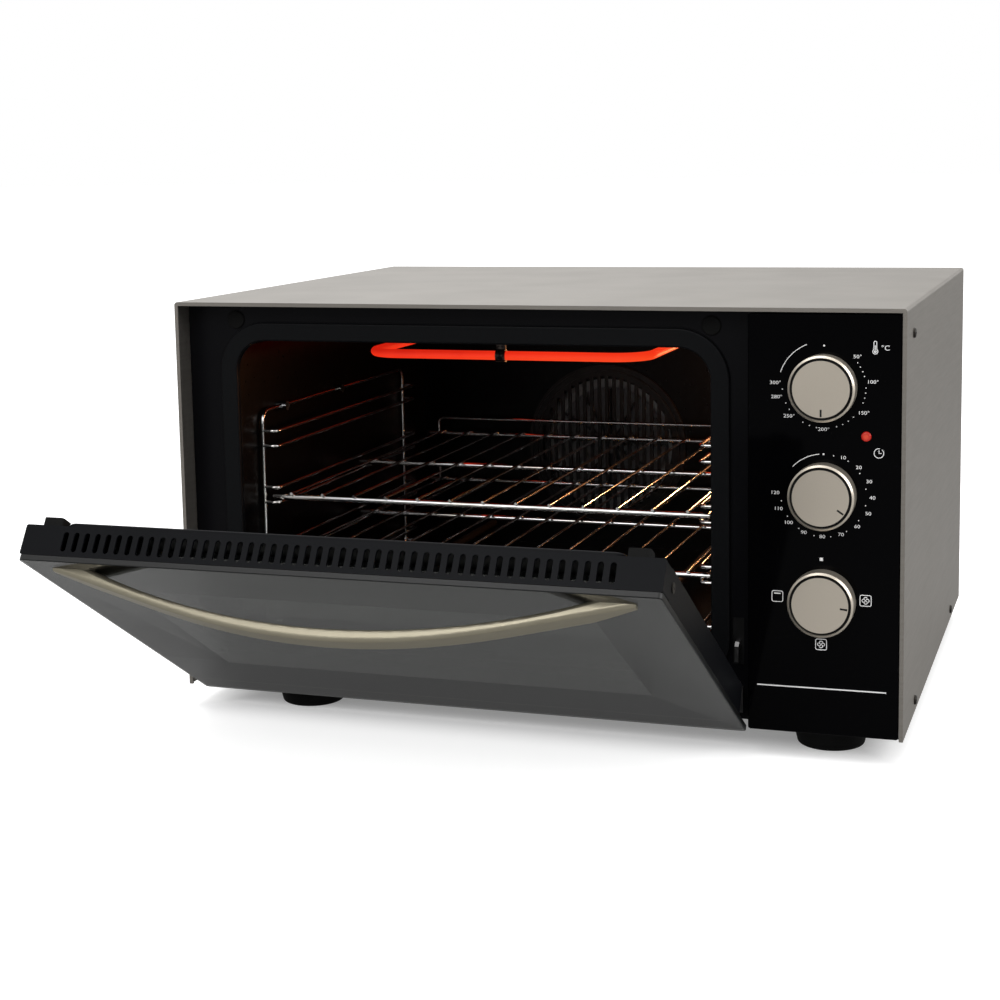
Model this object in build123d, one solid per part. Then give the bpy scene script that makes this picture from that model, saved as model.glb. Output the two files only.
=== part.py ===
"""Countertop electric oven with a drop-down glass door, standing with its door half open.

Millimetres. While the pieces are drawn, X runs to the right from the casing's left side, Y runs
into the depth from the casing's front edge, and Z runs up from the casing's underside. The door
is drawn shut and then swung open. At the end everything moves so that the origin is in the
middle of the whole object's footprint, at the height of the feet's soles.
"""
from build123d import *
import math
import os

# casing
CASE_W = 580.0
CASE_D = 466.0
CASE_H = 316.0
SHEET = 1.0                 # sheet steel
CASE_BEND = 2.5             # outer bend radius of the wrap
HEM_W = 3.0                 # folded front edge of the wrap
HEM_D = 2.0
FLANGE_W = 12.0             # turned-in lower and rear flanges
FOOT_H = 19.0
FOOT_TOP_R = 29.5
FOOT_SOLE_R = 25.0
FOOT_ROUND = 2.5
FOOT_DISH_R = 12.65
FOOT_DISH_D = 1.5
FOOT_BOSS_R = 18.0          # part that passes up through the base
FOOT_INSET_Y = 48.0
FOOT_LEFT_X = 90.0
FOOT_RIGHT_INSET = 59.0
SCREW_HEAD_R = 3.6
SCREW_HEAD_H = 1.8
SCREW_SHANK_R = 1.6
SCREW_LENGTH = 6.0
FIT = 0.3                   # gap between pieces that must not touch
SEAT_PLAY = 0.05            # between a round piece and the hole it is held in
CUT = 1.0                   # how far a cutting solid passes the face that it opens

# front frame and cavity
RECESS = 22.0               # the frame's face lies this far behind the casing's edge
FASCIA_T = 1.2
CAVITY_SIDE = 30.75         # from the door's side to the cavity wall
CAVITY_FLOOR = 38.0
CAVITY_TOP_GAP = 32.5
CAVITY_REAR_GAP = 30.0
OPENING_CORNER_R = 25.0
LINER_CORNER_R = 6.0
GASKET_W = 15.0
GASKET_H = 3.5              # stands this far out of the front frame
GASKET_ROUND = 1.4
GASKET_SETBACK = 0.5        # its inner edge, out from the opening's edge
HOOK_SLOT_LOW = 44.0
HOOK_SLOT_HIGH = 80.0
HOOK_SLOT_W = 9.0
HOOK_FROM_DOOR_EDGE = 10.0
HOOK_T = 3.0
HOOK_DROP = 18.0            # below the top of its slot
HOOK_STOCK = 6.0            # height of its arm
HOOK_LIP = 15.0             # length of its turned-down end
HOOK_LIP_T = 2.6
HOOK_CORNER = 3.0
HOOK_PLATE_LAP = 5.0        # of its plate over the slot's ends
HOOK_PLATE_LAP_X = 2.0      # and over its sides
HOOK_PLATE_T = 1.5
HOOK_REACH = 3.0            # its end lies this far behind the door's inner face
PLUG_R = 7.5
PLUG_H = 1.5
PLUG_ROUND = 1.2
PLUG_PAST_CAVITY = 0.9      # out from the cavity wall
PLUG_DROP = 15.5            # below the casing's top

# control panel
PANEL_W = 110.5
PANEL_T = 3.0
PANEL_FACE_Y = 0.5
PANEL_LOW = 1.0
PANEL_TOP_GAP = 4.0
PANEL_CORNER_R = 2.0
PANEL_RIM_SIDE = 10.0       # of the frame behind the panel, around its opening
PANEL_RIM_END = 12.0
PANEL_HOLE_PLAY = 1.0       # round a control's shaft
BEZEL_WALL = 2.0
KNOB_R = 24.0
KNOB_H = 14.0
KNOB_FACE_R = 20.5
KNOB_GROOVE_W = 2.0
KNOB_GROOVE_D = 3.0
KNOB_BEVEL = 1.4
KNOB_WALL = 4.0
KNOB_HOLLOW_D = 5.0
KNOB_BOSS_WALL = 3.0
POINTER_W = 1.4
POINTER_D = 0.5
POINTER_L = 5.4
POINTER_INSET = 0.6         # in from the edge of the knob's face
KNOB_COUNT = 3
KNOB_LOWEST_Z = 101.5
KNOB_TOP_DROP = 52.9        # from the panel's top to the highest knob
KNOB_FROM_PANEL_EDGE = 55.2
SHAFT_R = 3.0
SHAFT_PLAY = 0.06
SHAFT_OUT = 9.0             # of a control's shaft in front of the panel
SHAFT_END_GAP = 1.0         # behind a shaft in its bore
CONTROL_BODY_W = 38.0
CONTROL_BODY_D = 28.0
CONTROL_BODY_R = 4.0
CONTROL_END_T = 4.0
BUSHING_R = 5.5
BUSHING_L = 2.5
LAMP_R = 3.6
LAMP_LIP = 1.5
LAMP_BODY_L = 14.0
LENS_OUT = 1.6
LENS_ROUND = 1.3
LAMP_FROM_KNOB_X = 30.5
LAMP_BELOW_KNOB = 35.0

# door, with its own depth measured inward from the outer glass face
DOOR_LEFT = 14.0
DOOR_GAP = 1.5              # to the control panel
DOOR_TOP_GAP = 7.0          # to the casing's top
DOOR_LOW = 1.0
DOOR_T = 26.0
DOOR_STEP = 4.5             # the inner frame stands proud of the rails
GLASS_T = 4.0
GLASS_CORNER_R = 3.0
GLASS_BEVEL = 0.6
BORDER_T = 0.3              # printed border behind the glass
BORDER_INSET = 1.0          # in from the glass's edge
WINDOW_SIDE = 56.0
WINDOW_LOW = 79.0
WINDOW_TOP_GAP = 58.0
RAIL_W = 18.0
RAIL_WALL = 1.8
RAIL_ROUND = 1.5
RAIL_GAP = 1.0              # between the bottom rail and the side rails
RAIL_SEAT = 3.0             # how far a side rail's rear flange reaches under the inner frame
TOP_RAIL_H = 17.0
BOTTOM_RAIL_H = 31.0
BOTTOM_RAIL_LOW = 3.0
SLOT_PITCH = 8.2
SLOT_W = 4.0
SLOT_L = 14.0
SLOT_MARGIN = 31.0
SLOT_FORWARD = 0.5
END_SCREW_H = 0.8
INNER_FRAME_SIDE = 27.0
INNER_FRAME_TOP_GAP = 5.0
INNER_FRAME_T = 2.5
INNER_FRAME_LAP = 6.0       # over the bottom rail
INNER_FRAME_R = 8.0
INNER_FRAME_WALL = 1.6
INNER_WINDOW_STEP = 4.0
INNER_GLASS_LAP = 12.0
STOP_W = 15.0
STOP_H = 12.0
STOP_ROUND = 2.0
STOP_FROM_SIDE = 18.3       # from the door's side to the stop's middle
STOP_DROP = 2.0
HINGE_IN = 10.5             # hinge line, inward from the glass face
HINGE_UP = 12.0             # and up from the door's bottom edge
HINGE_EYE_R = 6.0
HINGE_PIN_R = 3.0
HINGE_PIN_OUT = 13.0
HINGE_PIN_IN = 12.0
PIN_BLOCK_L = 14.0          # solid end of the bottom rail that holds a pin
PIN_BEVEL = 0.4
BRACKET_FROM_SIDE = 12.0
BRACKET_W = 12.0
BRACKET_T = 4.0
BRACKET_H = 20.0
DOOR_ANGLE = 58.0           # how far the door stands open
DOOR_END_SCREW_DROP = 24.0

# handle
HANDLE_SPAN = 356.0         # chord of the arch, where it leaves the glass
HANDLE_RISE = 33.0
HANDLE_BAR_T = 8.5
HANDLE_BAR_H = 19.0
HANDLE_TIP = 28.0           # flat tips that lie on the glass beyond the arch
HANDLE_TOP_GAP = 14.0
HANDLE_PAD_T = 4.0
HANDLE_SHOULDER = 8.0       # how far the arch's ends stand out where the tips begin
HANDLE_SHOULDER_H = 16.0    # height of the bar there
HANDLE_TIP_T = 1.5
HANDLE_TIP_H = 6.0
HANDLE_ROUND = 3.0
HANDLE_ARCH = 0.78          # share of the rise that is left halfway to a shoulder

# heating elements
ELEMENT_R = 3.75
ELEMENT_BEND = 28.0
ELEMENT_FRONT_Y = 112.0
ELEMENT_SPAN = 243.0        # between the middles of its two legs
ELEMENT_CEILING_GAP = 18.5
ELEMENT_FLOOR_GAP = 18.0
TERMINAL_R = 2.0
TERMINAL_L = 11.0
CLIP_W = 8.0
CLIP_R = 5.4
CLIP_T = 2.0
CLIP_FOOT_T = 1.2
CLIP_FOOT_W = 16.0

# wire racks and shelves
RACK_WIRE_R = 1.7
RUNG_R = 1.5
RACK_FRONT_Y = 55.0
RACK_REAR_Y = 368.0
RACK_WALL_GAP = 1.2
RACK_TOP_GAP = 62.5         # to the cavity ceiling
RACK_BOTTOM_GAP = 5.0       # to the cavity floor
RACK_CORNER_R = 10.0
RUNG_STEP = 13.0            # the rungs stand this far in from the upright wires
RUNG_BEND = 5.0
RUNG_PAIR_GAP = 12.7
LEVELS = 4
LOWEST_LEVEL_UP = 11.5      # above the cavity floor
HIGHEST_LEVEL_DROP = 29.0   # below the rack's top wire
STUD_R = 4.0
STUD_PAST_WIRE = 3.0
STUD_Y = (95.0, 212.0)
SHELF_BAR_R = 2.4
SHELF_WIRE_R = 1.25
SHELF_WIRE_PITCH = 28.1
SHELF_SIDE_GAP = 7.8        # from the cavity wall to the end of a cross bar
SHELF_FRONT_Y = 61.0
SHELF_DEPTH = 366.0
SHELF_WELD = 0.5            # how far crossing wires are pressed into each other
SHELF_OVERHANG = 3.5
FENCE_H = 15.5
FENCE_R = 1.5

# convection fan at the back
FAN_UP = 103.0              # above the cavity floor
GRILLE_R = 80.5
GRILLE_T = 2.5
GRILLE_OPEN_R = 69.0
GRILLE_SLOT = 4.2
GRILLE_PITCH = 7.6
GRILLE_RING_W = 2.4
GRILLE_RING_H = 1.4
GRILLE_RING_INSET = 1.6     # outer ring, in from the rim
GRILLE_RING_OUT = 4.0       # inner ring, out from the slots
FAN_OPENING_R = 66.0
IMPELLER_R = 56.0
IMPELLER_D = 11.0
IMPELLER_GAP = 3.0          # behind the cavity's rear wall
HUB_R = 10.0
BLADE_T = 1.2
BLADE_OFFSET = 0.5
BLADE_TIP_INSET = 1.0
BLADES = 12
HOUSING_R = 73.0
HOUSING_D = 18.0
HOUSING_HOLE_PLAY = 4.0
SHAFT_PAST_HUB = 1.0
MOTOR_R = 26.0
MOTOR_L = 23.0
MOTOR_ROUND = 3.0
MOTOR_CAP_T = 5.0
LUG_L = 9.0
LUG_W = 14.0
LUG_T = 3.0
MOTOR_ROOM = 4.0            # round the motor where it passes the rear sheet
COVER_R = 62.0
COVER_D = 21.0
COVER_FLANGE = 8.0
COVER_BEND = 8.0

# cord inlet and vents at the back and below
INLET_FROM_PANEL_EDGE = 34.0
INLET_Z = 30.0
INLET_R = 9.0
INLET_BORE_R = 3.8
INLET_COLLAR = 4.0
INLET_OUT = 12.0            # how far the gland stands out of the rear sheet
INLET_NUT_T = 6.0
INLET_NUT_GAP = 2.0
REAR_VENT = (9.0, 34.0, 26.0, 4.5)      # vents: pitch across, pitch up, length, width
REAR_VENT_DROP = 135.25
TOP_VENT = (22.0, 34.0, 16.0, 4.5)
TOP_VENT_DROP = 26.0
BASE_VENT = (13.0, 40.0, 30.0, 5.0)
COVER_VENT = (10.0, 34.0, 26.0, 4.0)
DIVIDER_VENT = (34.0, 44.0, 30.0, 4.0)
DIVIDER_GAP = 3.0           # to the left of the control panel

# places worked out from the sizes above
panel_x1 = CASE_W - HEM_W - FIT
panel_x0 = panel_x1 - PANEL_W
panel_top = CASE_H - PANEL_TOP_GAP
panel_back_y = PANEL_FACE_Y + PANEL_T
panel_mid = (panel_x0 + panel_x1) / 2
knob_x = panel_x1 - KNOB_FROM_PANEL_EDGE
inlet_x = panel_x1 - INLET_FROM_PANEL_EDGE
knob_rise = panel_top - KNOB_TOP_DROP - KNOB_LOWEST_Z
knob_z = [KNOB_LOWEST_Z + knob_rise * i / (KNOB_COUNT - 1) for i in range(KNOB_COUNT)]
lamp_x = knob_x + LAMP_FROM_KNOB_X
lamp_z = knob_z[-1] - LAMP_BELOW_KNOB
door_x0 = DOOR_LEFT
door_x1 = panel_x0 - DOOR_GAP
door_mid = (door_x0 + door_x1) / 2
door_h = CASE_H - DOOR_LOW - DOOR_TOP_GAP
gasket_face_y = RECESS - GASKET_H
inner_face_y = gasket_face_y - FIT
door_face_y = inner_face_y - DOOR_STEP - DOOR_T
stop_depth = DOOR_STEP + GASKET_H - PLUG_H
hinge_y = door_face_y + HINGE_IN
hinge_z = DOOR_LOW + HINGE_UP
cavity_x0 = door_x0 + CAVITY_SIDE
cavity_x1 = door_x1 - CAVITY_SIDE
cavity_w = cavity_x1 - cavity_x0
cavity_h = CASE_H - CAVITY_TOP_GAP - CAVITY_FLOOR
cavity_mid_z = CAVITY_FLOOR + cavity_h / 2
cavity_front_y = RECESS + FASCIA_T
cavity_rear_y = CASE_D - CAVITY_REAR_GAP
fan_z = CAVITY_FLOOR + FAN_UP
upper_element_z = CASE_H - CAVITY_TOP_GAP - ELEMENT_CEILING_GAP
lower_element_z = CAVITY_FLOOR + ELEMENT_FLOOR_GAP
rack_top_z = CASE_H - CAVITY_TOP_GAP - RACK_TOP_GAP
rack_bottom_z = CAVITY_FLOOR + RACK_BOTTOM_GAP
lowest_level_z = CAVITY_FLOOR + LOWEST_LEVEL_UP
level_rise = rack_top_z - HIGHEST_LEVEL_DROP - lowest_level_z
level_z = [lowest_level_z + level_rise * i / (LEVELS - 1) for i in range(LEVELS)]


def block(x0, x1, y0, y1, z0, z1):
    """An upright box between two corners."""
    middle = Pos((x0 + x1) / 2, (y0 + y1) / 2, (z0 + z1) / 2)
    return middle * Box(x1 - x0, y1 - y0, z1 - z0)


def along_y(sketch, x, z, y0, y1):
    """A front-view outline given depth from y0 to y1."""
    return Pos(x, y1, z) * extrude(Plane.XZ * sketch, y1 - y0)


def disc_y(x, z, radius, y0, y1):
    return along_y(Circle(radius), x, z, y0, y1)


def rod_x(y, z, radius, x0, x1):
    return Pos((x0 + x1) / 2, y, z) * Rot(0, 90, 0) * Cylinder(radius, x1 - x0)


def wire_piece(points, radius, bend):
    """A round wire along straight runs joined by bends."""
    path = FilletPolyline(*points, radius=bend)
    return sweep(Plane(origin=path @ 0, z_dir=path % 0) * Circle(radius), path=path)


def screw(x, y, z, turn):
    """A pan-head screw; turn carries its axis from straight up to where its head points."""
    head = Cylinder(SCREW_HEAD_R, SCREW_HEAD_H)
    head = fillet(head.edges().sort_by(Axis.Z)[-1], SCREW_HEAD_H * 0.6)
    cross = Box(SCREW_HEAD_R * 1.2, 0.8, 1.2) + Box(0.8, SCREW_HEAD_R * 1.2, 1.2)
    head -= Pos(0, 0, SCREW_HEAD_H / 2) * cross
    body = Pos(0, 0, SCREW_HEAD_H / 2) * head
    body += Pos(0, 0, -SCREW_LENGTH / 2) * Cylinder(SCREW_SHANK_R, SCREW_LENGTH)
    return Pos(x, y, z) * turn * body


def vent_rows(columns, rows, pattern):
    """A block of rounded upright vent slots, as one sketch."""
    pitch_x, pitch_z, length, width = pattern
    return Sketch() + [
        Pos((c - (columns - 1) / 2) * pitch_x, (r - (rows - 1) / 2) * pitch_z)
        * SlotOverall(length, width, rotation=90)
        for c in range(columns)
        for r in range(rows)
    ]


# casing
SIDE_SCREWS = ((42.5, CASE_H - 21.0), (76.5, 10.0), (CASE_D - 95.5, 10.0))


def casing_wrap():
    """Top and both sides, bent from one sheet, with a folded front edge and turned-in flanges."""
    outline = Rectangle(CASE_W, CASE_H)
    outline = fillet(outline.vertices().group_by(Axis.Y)[-1], CASE_BEND)
    inner = Rectangle(CASE_W - 2 * SHEET, CASE_H - SHEET)
    inner = Pos(0, -SHEET / 2) * fillet(inner.vertices().group_by(Axis.Y)[-1], CASE_BEND - SHEET)
    mid = (CASE_W / 2, CASE_H / 2)
    wrap = along_y(outline - inner, *mid, 0, CASE_D)
    hem = outline - Pos(0, -HEM_W / 2) * Rectangle(CASE_W - 2 * HEM_W, CASE_H - HEM_W)
    wrap += along_y(hem, *mid, 0, HEM_D)
    for x0 in (0, CASE_W - FLANGE_W):
        wrap += block(x0, x0 + FLANGE_W, cavity_front_y, CASE_D, 0, SHEET)
    for x in (0, CASE_W):
        for y, z in SIDE_SCREWS:
            wrap -= rod_x(y, z, SCREW_SHANK_R, x - 2 * SHEET, x + 2 * SHEET)
    return wrap


def side_screws():
    """Three screws through each side of the wrap."""
    return Compound(children=[
        screw(x, y, z, Rot(0, 90 * side, 0))
        for x, side in ((0, -1), (CASE_W, 1))
        for y, z in SIDE_SCREWS
    ])


def base_pan():
    """Bottom sheet on the wrap's flanges, with vents under the controls and the cavity."""
    edge = SHEET + FIT
    pan = block(edge, CASE_W - edge, cavity_front_y, CASE_D - SHEET, SHEET, 2 * SHEET)
    for x, columns, rows in ((panel_mid, 6, 5), (door_mid, 14, 1)):
        vents = vent_rows(columns, rows, BASE_VENT)
        pan -= Pos(x, CASE_D / 2, SHEET) * extrude(vents, 2 * SHEET)
    return pan


def foot(x, y):
    """Tapered rubber foot with a dished sole and a stud up through the base."""
    body = Pos(0, 0, -FOOT_H / 2) * Cone(FOOT_SOLE_R, FOOT_TOP_R, FOOT_H)
    body = fillet(body.edges().sort_by(Axis.Z)[0], FOOT_ROUND)
    body -= Pos(0, 0, -FOOT_H) * Cylinder(FOOT_DISH_R, 2 * FOOT_DISH_D)
    body += Pos(0, 0, SHEET / 2) * Cylinder(FOOT_BOSS_R, SHEET)
    return Pos(x, y, 0) * body


def inside_wrap(y0, y1, low):
    """A flat sheet that fills the wrap, with its upper corners rounded to suit."""
    edge = SHEET + FIT
    sheet = block(edge, CASE_W - edge, y0, y1, low, CASE_H - edge)
    return fillet(sheet.edges().filter_by(Axis.Y).group_by(Axis.Z)[-1], CASE_BEND)


def back_panel():
    """Rear sheet with cooling vents, the motor opening and the cord inlet's hole."""
    y0 = CASE_D - SHEET
    panel = inside_wrap(y0, CASE_D, 2 * SHEET + FIT)
    panel -= along_y(vent_rows(9, 6, REAR_VENT), panel_mid, CASE_H - REAR_VENT_DROP, y0, CASE_D)
    panel -= along_y(vent_rows(16, 1, TOP_VENT), door_mid, CASE_H - TOP_VENT_DROP, y0, CASE_D)
    panel -= disc_y(door_mid, fan_z, MOTOR_R + MOTOR_ROOM, y0, CASE_D)
    return panel - disc_y(inlet_x, INLET_Z, INLET_R, y0, CASE_D)


def motor_cover():
    """Pressed round cover over the fan motor, with a flat flange and cooling slots."""
    dome = disc_y(door_mid, fan_z, COVER_R, CASE_D, CASE_D + COVER_D)
    dome = fillet(dome.edges().sort_by(Axis.Y)[-1], COVER_BEND)
    hollow = disc_y(door_mid, fan_z, COVER_R - SHEET, CASE_D - 1, CASE_D + COVER_D - SHEET)
    hollow = fillet(hollow.edges().sort_by(Axis.Y)[-1], COVER_BEND - SHEET)
    flange = disc_y(door_mid, fan_z, COVER_R + COVER_FLANGE, CASE_D, CASE_D + SHEET)
    cover = dome + flange - hollow
    face = CASE_D + COVER_D
    return cover - along_y(vent_rows(9, 2, COVER_VENT), door_mid, fan_z, face - 2 * SHEET, face + 1)


def power_inlet():
    """Plastic gland for the supply cord, with its bore left empty."""
    inner = CASE_D - SHEET - INLET_NUT_GAP
    steps = (
        (INLET_R - SEAT_PLAY, inner - INLET_NUT_T, CASE_D),
        (INLET_R + INLET_COLLAR, CASE_D, CASE_D + INLET_COLLAR),
        (INLET_R - INLET_COLLAR / 2, CASE_D + INLET_COLLAR, CASE_D + INLET_OUT),
        (INLET_R + INLET_COLLAR - 1, inner - INLET_NUT_T, inner),
    )
    gland = Part() + [disc_y(inlet_x, INLET_Z, radius, y0, y1) for radius, y0, y1 in steps]
    return gland - disc_y(inlet_x, INLET_Z, INLET_BORE_R, inner - INLET_NUT_T, CASE_D + INLET_OUT)


def divider_wall():
    """Upright sheet between the cavity bay and the controls."""
    x = panel_x0 - DIVIDER_GAP
    wall = block(x, x + SHEET, cavity_front_y, CASE_D - SHEET - FIT, 2 * SHEET, CASE_H - SHEET - FIT)
    slots = Plane.YZ * vent_rows(7, 4, DIVIDER_VENT)
    return wall - Pos(x, CASE_D / 2, CASE_H / 2) * extrude(slots, SHEET)


# front frame
def mirrored(x):
    """The same place at the other side of the door."""
    return 2 * door_mid - x


def sides(offset_from_edge):
    """Left and right X at one distance inside the door's side edges."""
    right = door_x1 - offset_from_edge
    return mirrored(right), right


def front_fascia():
    """Dark front frame: cavity opening, hinge hook slots and the opening behind the controls."""
    plate = inside_wrap(RECESS, RECESS + FASCIA_T, SHEET + FIT)
    front = RECESS - CUT
    rear = cavity_front_y + CUT
    opening = RectangleRounded(cavity_w, cavity_h, OPENING_CORNER_R)
    plate -= along_y(opening, door_mid, cavity_mid_z, front, rear)
    plate -= block(
        panel_x0 + PANEL_RIM_SIDE, panel_x1 - PANEL_RIM_SIDE, front, rear,
        PANEL_RIM_END, panel_top - PANEL_RIM_END,
    )
    for x in sides(HOOK_FROM_DOOR_EDGE):
        slot = Rectangle(HOOK_SLOT_W, HOOK_SLOT_HIGH - HOOK_SLOT_LOW)
        plate -= along_y(slot, x, (HOOK_SLOT_LOW + HOOK_SLOT_HIGH) / 2, front, rear)
    return plate


def door_gasket():
    """Raised seal around the cavity opening."""
    outer = RectangleRounded(
        cavity_w + 2 * GASKET_W, cavity_h + 2 * GASKET_W, OPENING_CORNER_R + GASKET_W
    )
    inner = RectangleRounded(
        cavity_w + 2 * GASKET_SETBACK, cavity_h + 2 * GASKET_SETBACK, OPENING_CORNER_R
    )
    ring = along_y(outer - inner, door_mid, cavity_mid_z, gasket_face_y, RECESS)
    rim = ring.edges().group_by(Axis.Y)[0]
    return fillet(rim, GASKET_ROUND)


def fascia_plugs():
    """Two round rubber plugs above the corners of the opening."""
    plugs = []
    for x in (cavity_x0 - PLUG_PAST_CAVITY, cavity_x1 + PLUG_PAST_CAVITY):
        plug = disc_y(x, CASE_H - PLUG_DROP, PLUG_R, RECESS - PLUG_H, RECESS)
        plugs.append(fillet(plug.edges().sort_by(Axis.Y)[0], PLUG_ROUND))
    return Compound(children=plugs)


def hinge_hook(x):
    """Steel hook that stands out of its slot, on a plate behind the front frame."""
    front = inner_face_y - HOOK_REACH
    back = cavity_front_y
    top = HOOK_SLOT_HIGH - HOOK_DROP
    outline = Polyline(
        (back, top), (front + HOOK_CORNER, top), (front, top - HOOK_CORNER), (front, top - HOOK_LIP),
        (front + HOOK_LIP_T, top - HOOK_LIP), (front + HOOK_LIP_T, top - HOOK_STOCK),
        (back, top - HOOK_STOCK), close=True,
    )
    hook = Pos(x - HOOK_T / 2, 0, 0) * extrude(Plane.YZ * make_face(outline), HOOK_T)
    half = HOOK_SLOT_W / 2 + HOOK_PLATE_LAP_X
    low = HOOK_SLOT_LOW - HOOK_PLATE_LAP
    high = HOOK_SLOT_HIGH + HOOK_PLATE_LAP
    return hook + block(x - half, x + half, back, back + HOOK_PLATE_T, low, high)


def hinge_bracket(x):
    """Ear on the front frame that carries one hinge pin."""
    foot_y = RECESS - 3
    arm = Polyline(
        (hinge_y, hinge_z - HINGE_EYE_R), (RECESS, hinge_z - HINGE_EYE_R),
        (RECESS, hinge_z - HINGE_EYE_R + BRACKET_H), (foot_y, hinge_z - HINGE_EYE_R + BRACKET_H),
        (hinge_y, hinge_z + HINGE_EYE_R), close=True,
    )
    ear = extrude(Plane.YZ * make_face(arm), BRACKET_T)
    ear += Pos(0, hinge_y, hinge_z) * extrude(Plane.YZ * Circle(HINGE_EYE_R), BRACKET_T)
    ear = Pos(x - BRACKET_T / 2, 0, 0) * ear
    foot_z = hinge_z - HINGE_EYE_R
    ear += block(x - BRACKET_W / 2, x + BRACKET_W / 2, foot_y, RECESS, foot_z, foot_z + BRACKET_H)
    return ear - rod_x(hinge_y, hinge_z, HINGE_PIN_R + SHAFT_PLAY, x - BRACKET_W, x + BRACKET_W)


# cavity
def cavity_room():
    """The space inside the liner, as a solid that passes out of its mouth."""
    room = RectangleRounded(cavity_w, cavity_h, LINER_CORNER_R)
    return along_y(room, door_mid, cavity_mid_z, cavity_front_y - CUT, cavity_rear_y)


def cavity_liner():
    """Enamelled box behind the front frame, open to the front."""
    shell = RectangleRounded(cavity_w + 2 * SHEET, cavity_h + 2 * SHEET, LINER_CORNER_R + SHEET)
    liner = along_y(shell, door_mid, cavity_mid_z, cavity_front_y, cavity_rear_y + SHEET)
    liner -= cavity_room()
    liner -= disc_y(door_mid, fan_z, FAN_OPENING_R, cavity_rear_y - CUT, cavity_rear_y + SHEET + CUT)
    for z in (upper_element_z, lower_element_z):
        for side in (-1, 1):
            x = door_mid + side * ELEMENT_SPAN / 2
            liner -= disc_y(x, z, ELEMENT_R + SEAT_PLAY, cavity_rear_y - CUT, cavity_rear_y + SHEET + CUT)
    return liner


def element(z):
    """U-shaped tube from the back wall round the front, with a terminal on each leg."""
    x0 = door_mid - ELEMENT_SPAN / 2
    x1 = door_mid + ELEMENT_SPAN / 2
    end = cavity_rear_y + SHEET + 6
    points = [(x0, end, z), (x0, ELEMENT_FRONT_Y, z), (x1, ELEMENT_FRONT_Y, z), (x1, end, z)]
    tube = wire_piece(points, ELEMENT_R, ELEMENT_BEND)
    for x in (x0, x1):
        tube += disc_y(x, z, TERMINAL_R, end - 1, end + TERMINAL_L)
    return tube


def element_clip(z, wall_z):
    """Strap that holds the element's front run to the cavity ceiling or floor."""
    y = ELEMENT_FRONT_Y
    x0 = door_mid - CLIP_W / 2
    x1 = door_mid + CLIP_W / 2
    low, high = sorted((z, wall_z))
    clip = rod_x(y, z, CLIP_R, x0, x1) + block(x0, x1, y - CLIP_T / 2, y + CLIP_T / 2, low, high)
    step = math.copysign(CLIP_FOOT_T, z - wall_z)
    low, high = sorted((wall_z, wall_z + step))
    clip += block(x0, x1, y - CLIP_FOOT_W / 2, y + CLIP_FOOT_W / 2, low, high)
    return clip - rod_x(y, z, ELEMENT_R, x0 - CUT, x1 + CUT)


def rack_x(side):
    """X of a rack's upright wires; side is -1 at the left and 1 at the right."""
    wall = cavity_x0 if side < 0 else cavity_x1
    return wall - side * (RACK_WALL_GAP + RACK_WIRE_R)


def side_rack(side):
    """Wire frame along a side wall with pairs of rungs that a shelf slides between."""
    x = rack_x(side)
    inner_x = x - side * RUNG_STEP
    corners = [
        (x, RACK_FRONT_Y, rack_bottom_z), (x, RACK_FRONT_Y, rack_top_z),
        (x, RACK_REAR_Y, rack_top_z), (x, RACK_REAR_Y, rack_bottom_z),
    ]
    path = FilletPolyline(*corners, radius=RACK_CORNER_R, close=True)
    rack = sweep(Plane(origin=path @ 0, z_dir=path % 0) * Circle(RACK_WIRE_R), path=path)
    for level in level_z:
        for z in (level, level + RUNG_PAIR_GAP):
            points = [
                (x, RACK_FRONT_Y, z), (inner_x, RACK_FRONT_Y, z),
                (inner_x, RACK_REAR_Y, z), (x, RACK_REAR_Y, z),
            ]
            rack += wire_piece(points, RUNG_R, RUNG_BEND)
    return rack


def rack_studs():
    """Studs on the cavity walls that carry the racks' top and bottom wires."""
    studs = []
    for side, wall in ((-1, cavity_x0), (1, cavity_x1)):
        x = rack_x(side)
        low, high = sorted((wall, x - side * (RACK_WIRE_R + STUD_PAST_WIRE)))
        for y in STUD_Y:
            for z in (rack_top_z, rack_bottom_z):
                stud = (rod_x(y, z, STUD_R, low, high) - wire_groove(x, z)) & cavity_room()
                studs += stud.solids()
    return Compound(children=studs)


def wire_groove(x, z):
    """Room for a rack wire through a stud."""
    return Pos(x, CASE_D / 2, z) * Rot(90, 0, 0) * Cylinder(RACK_WIRE_R + SEAT_PLAY, CASE_D)


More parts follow.
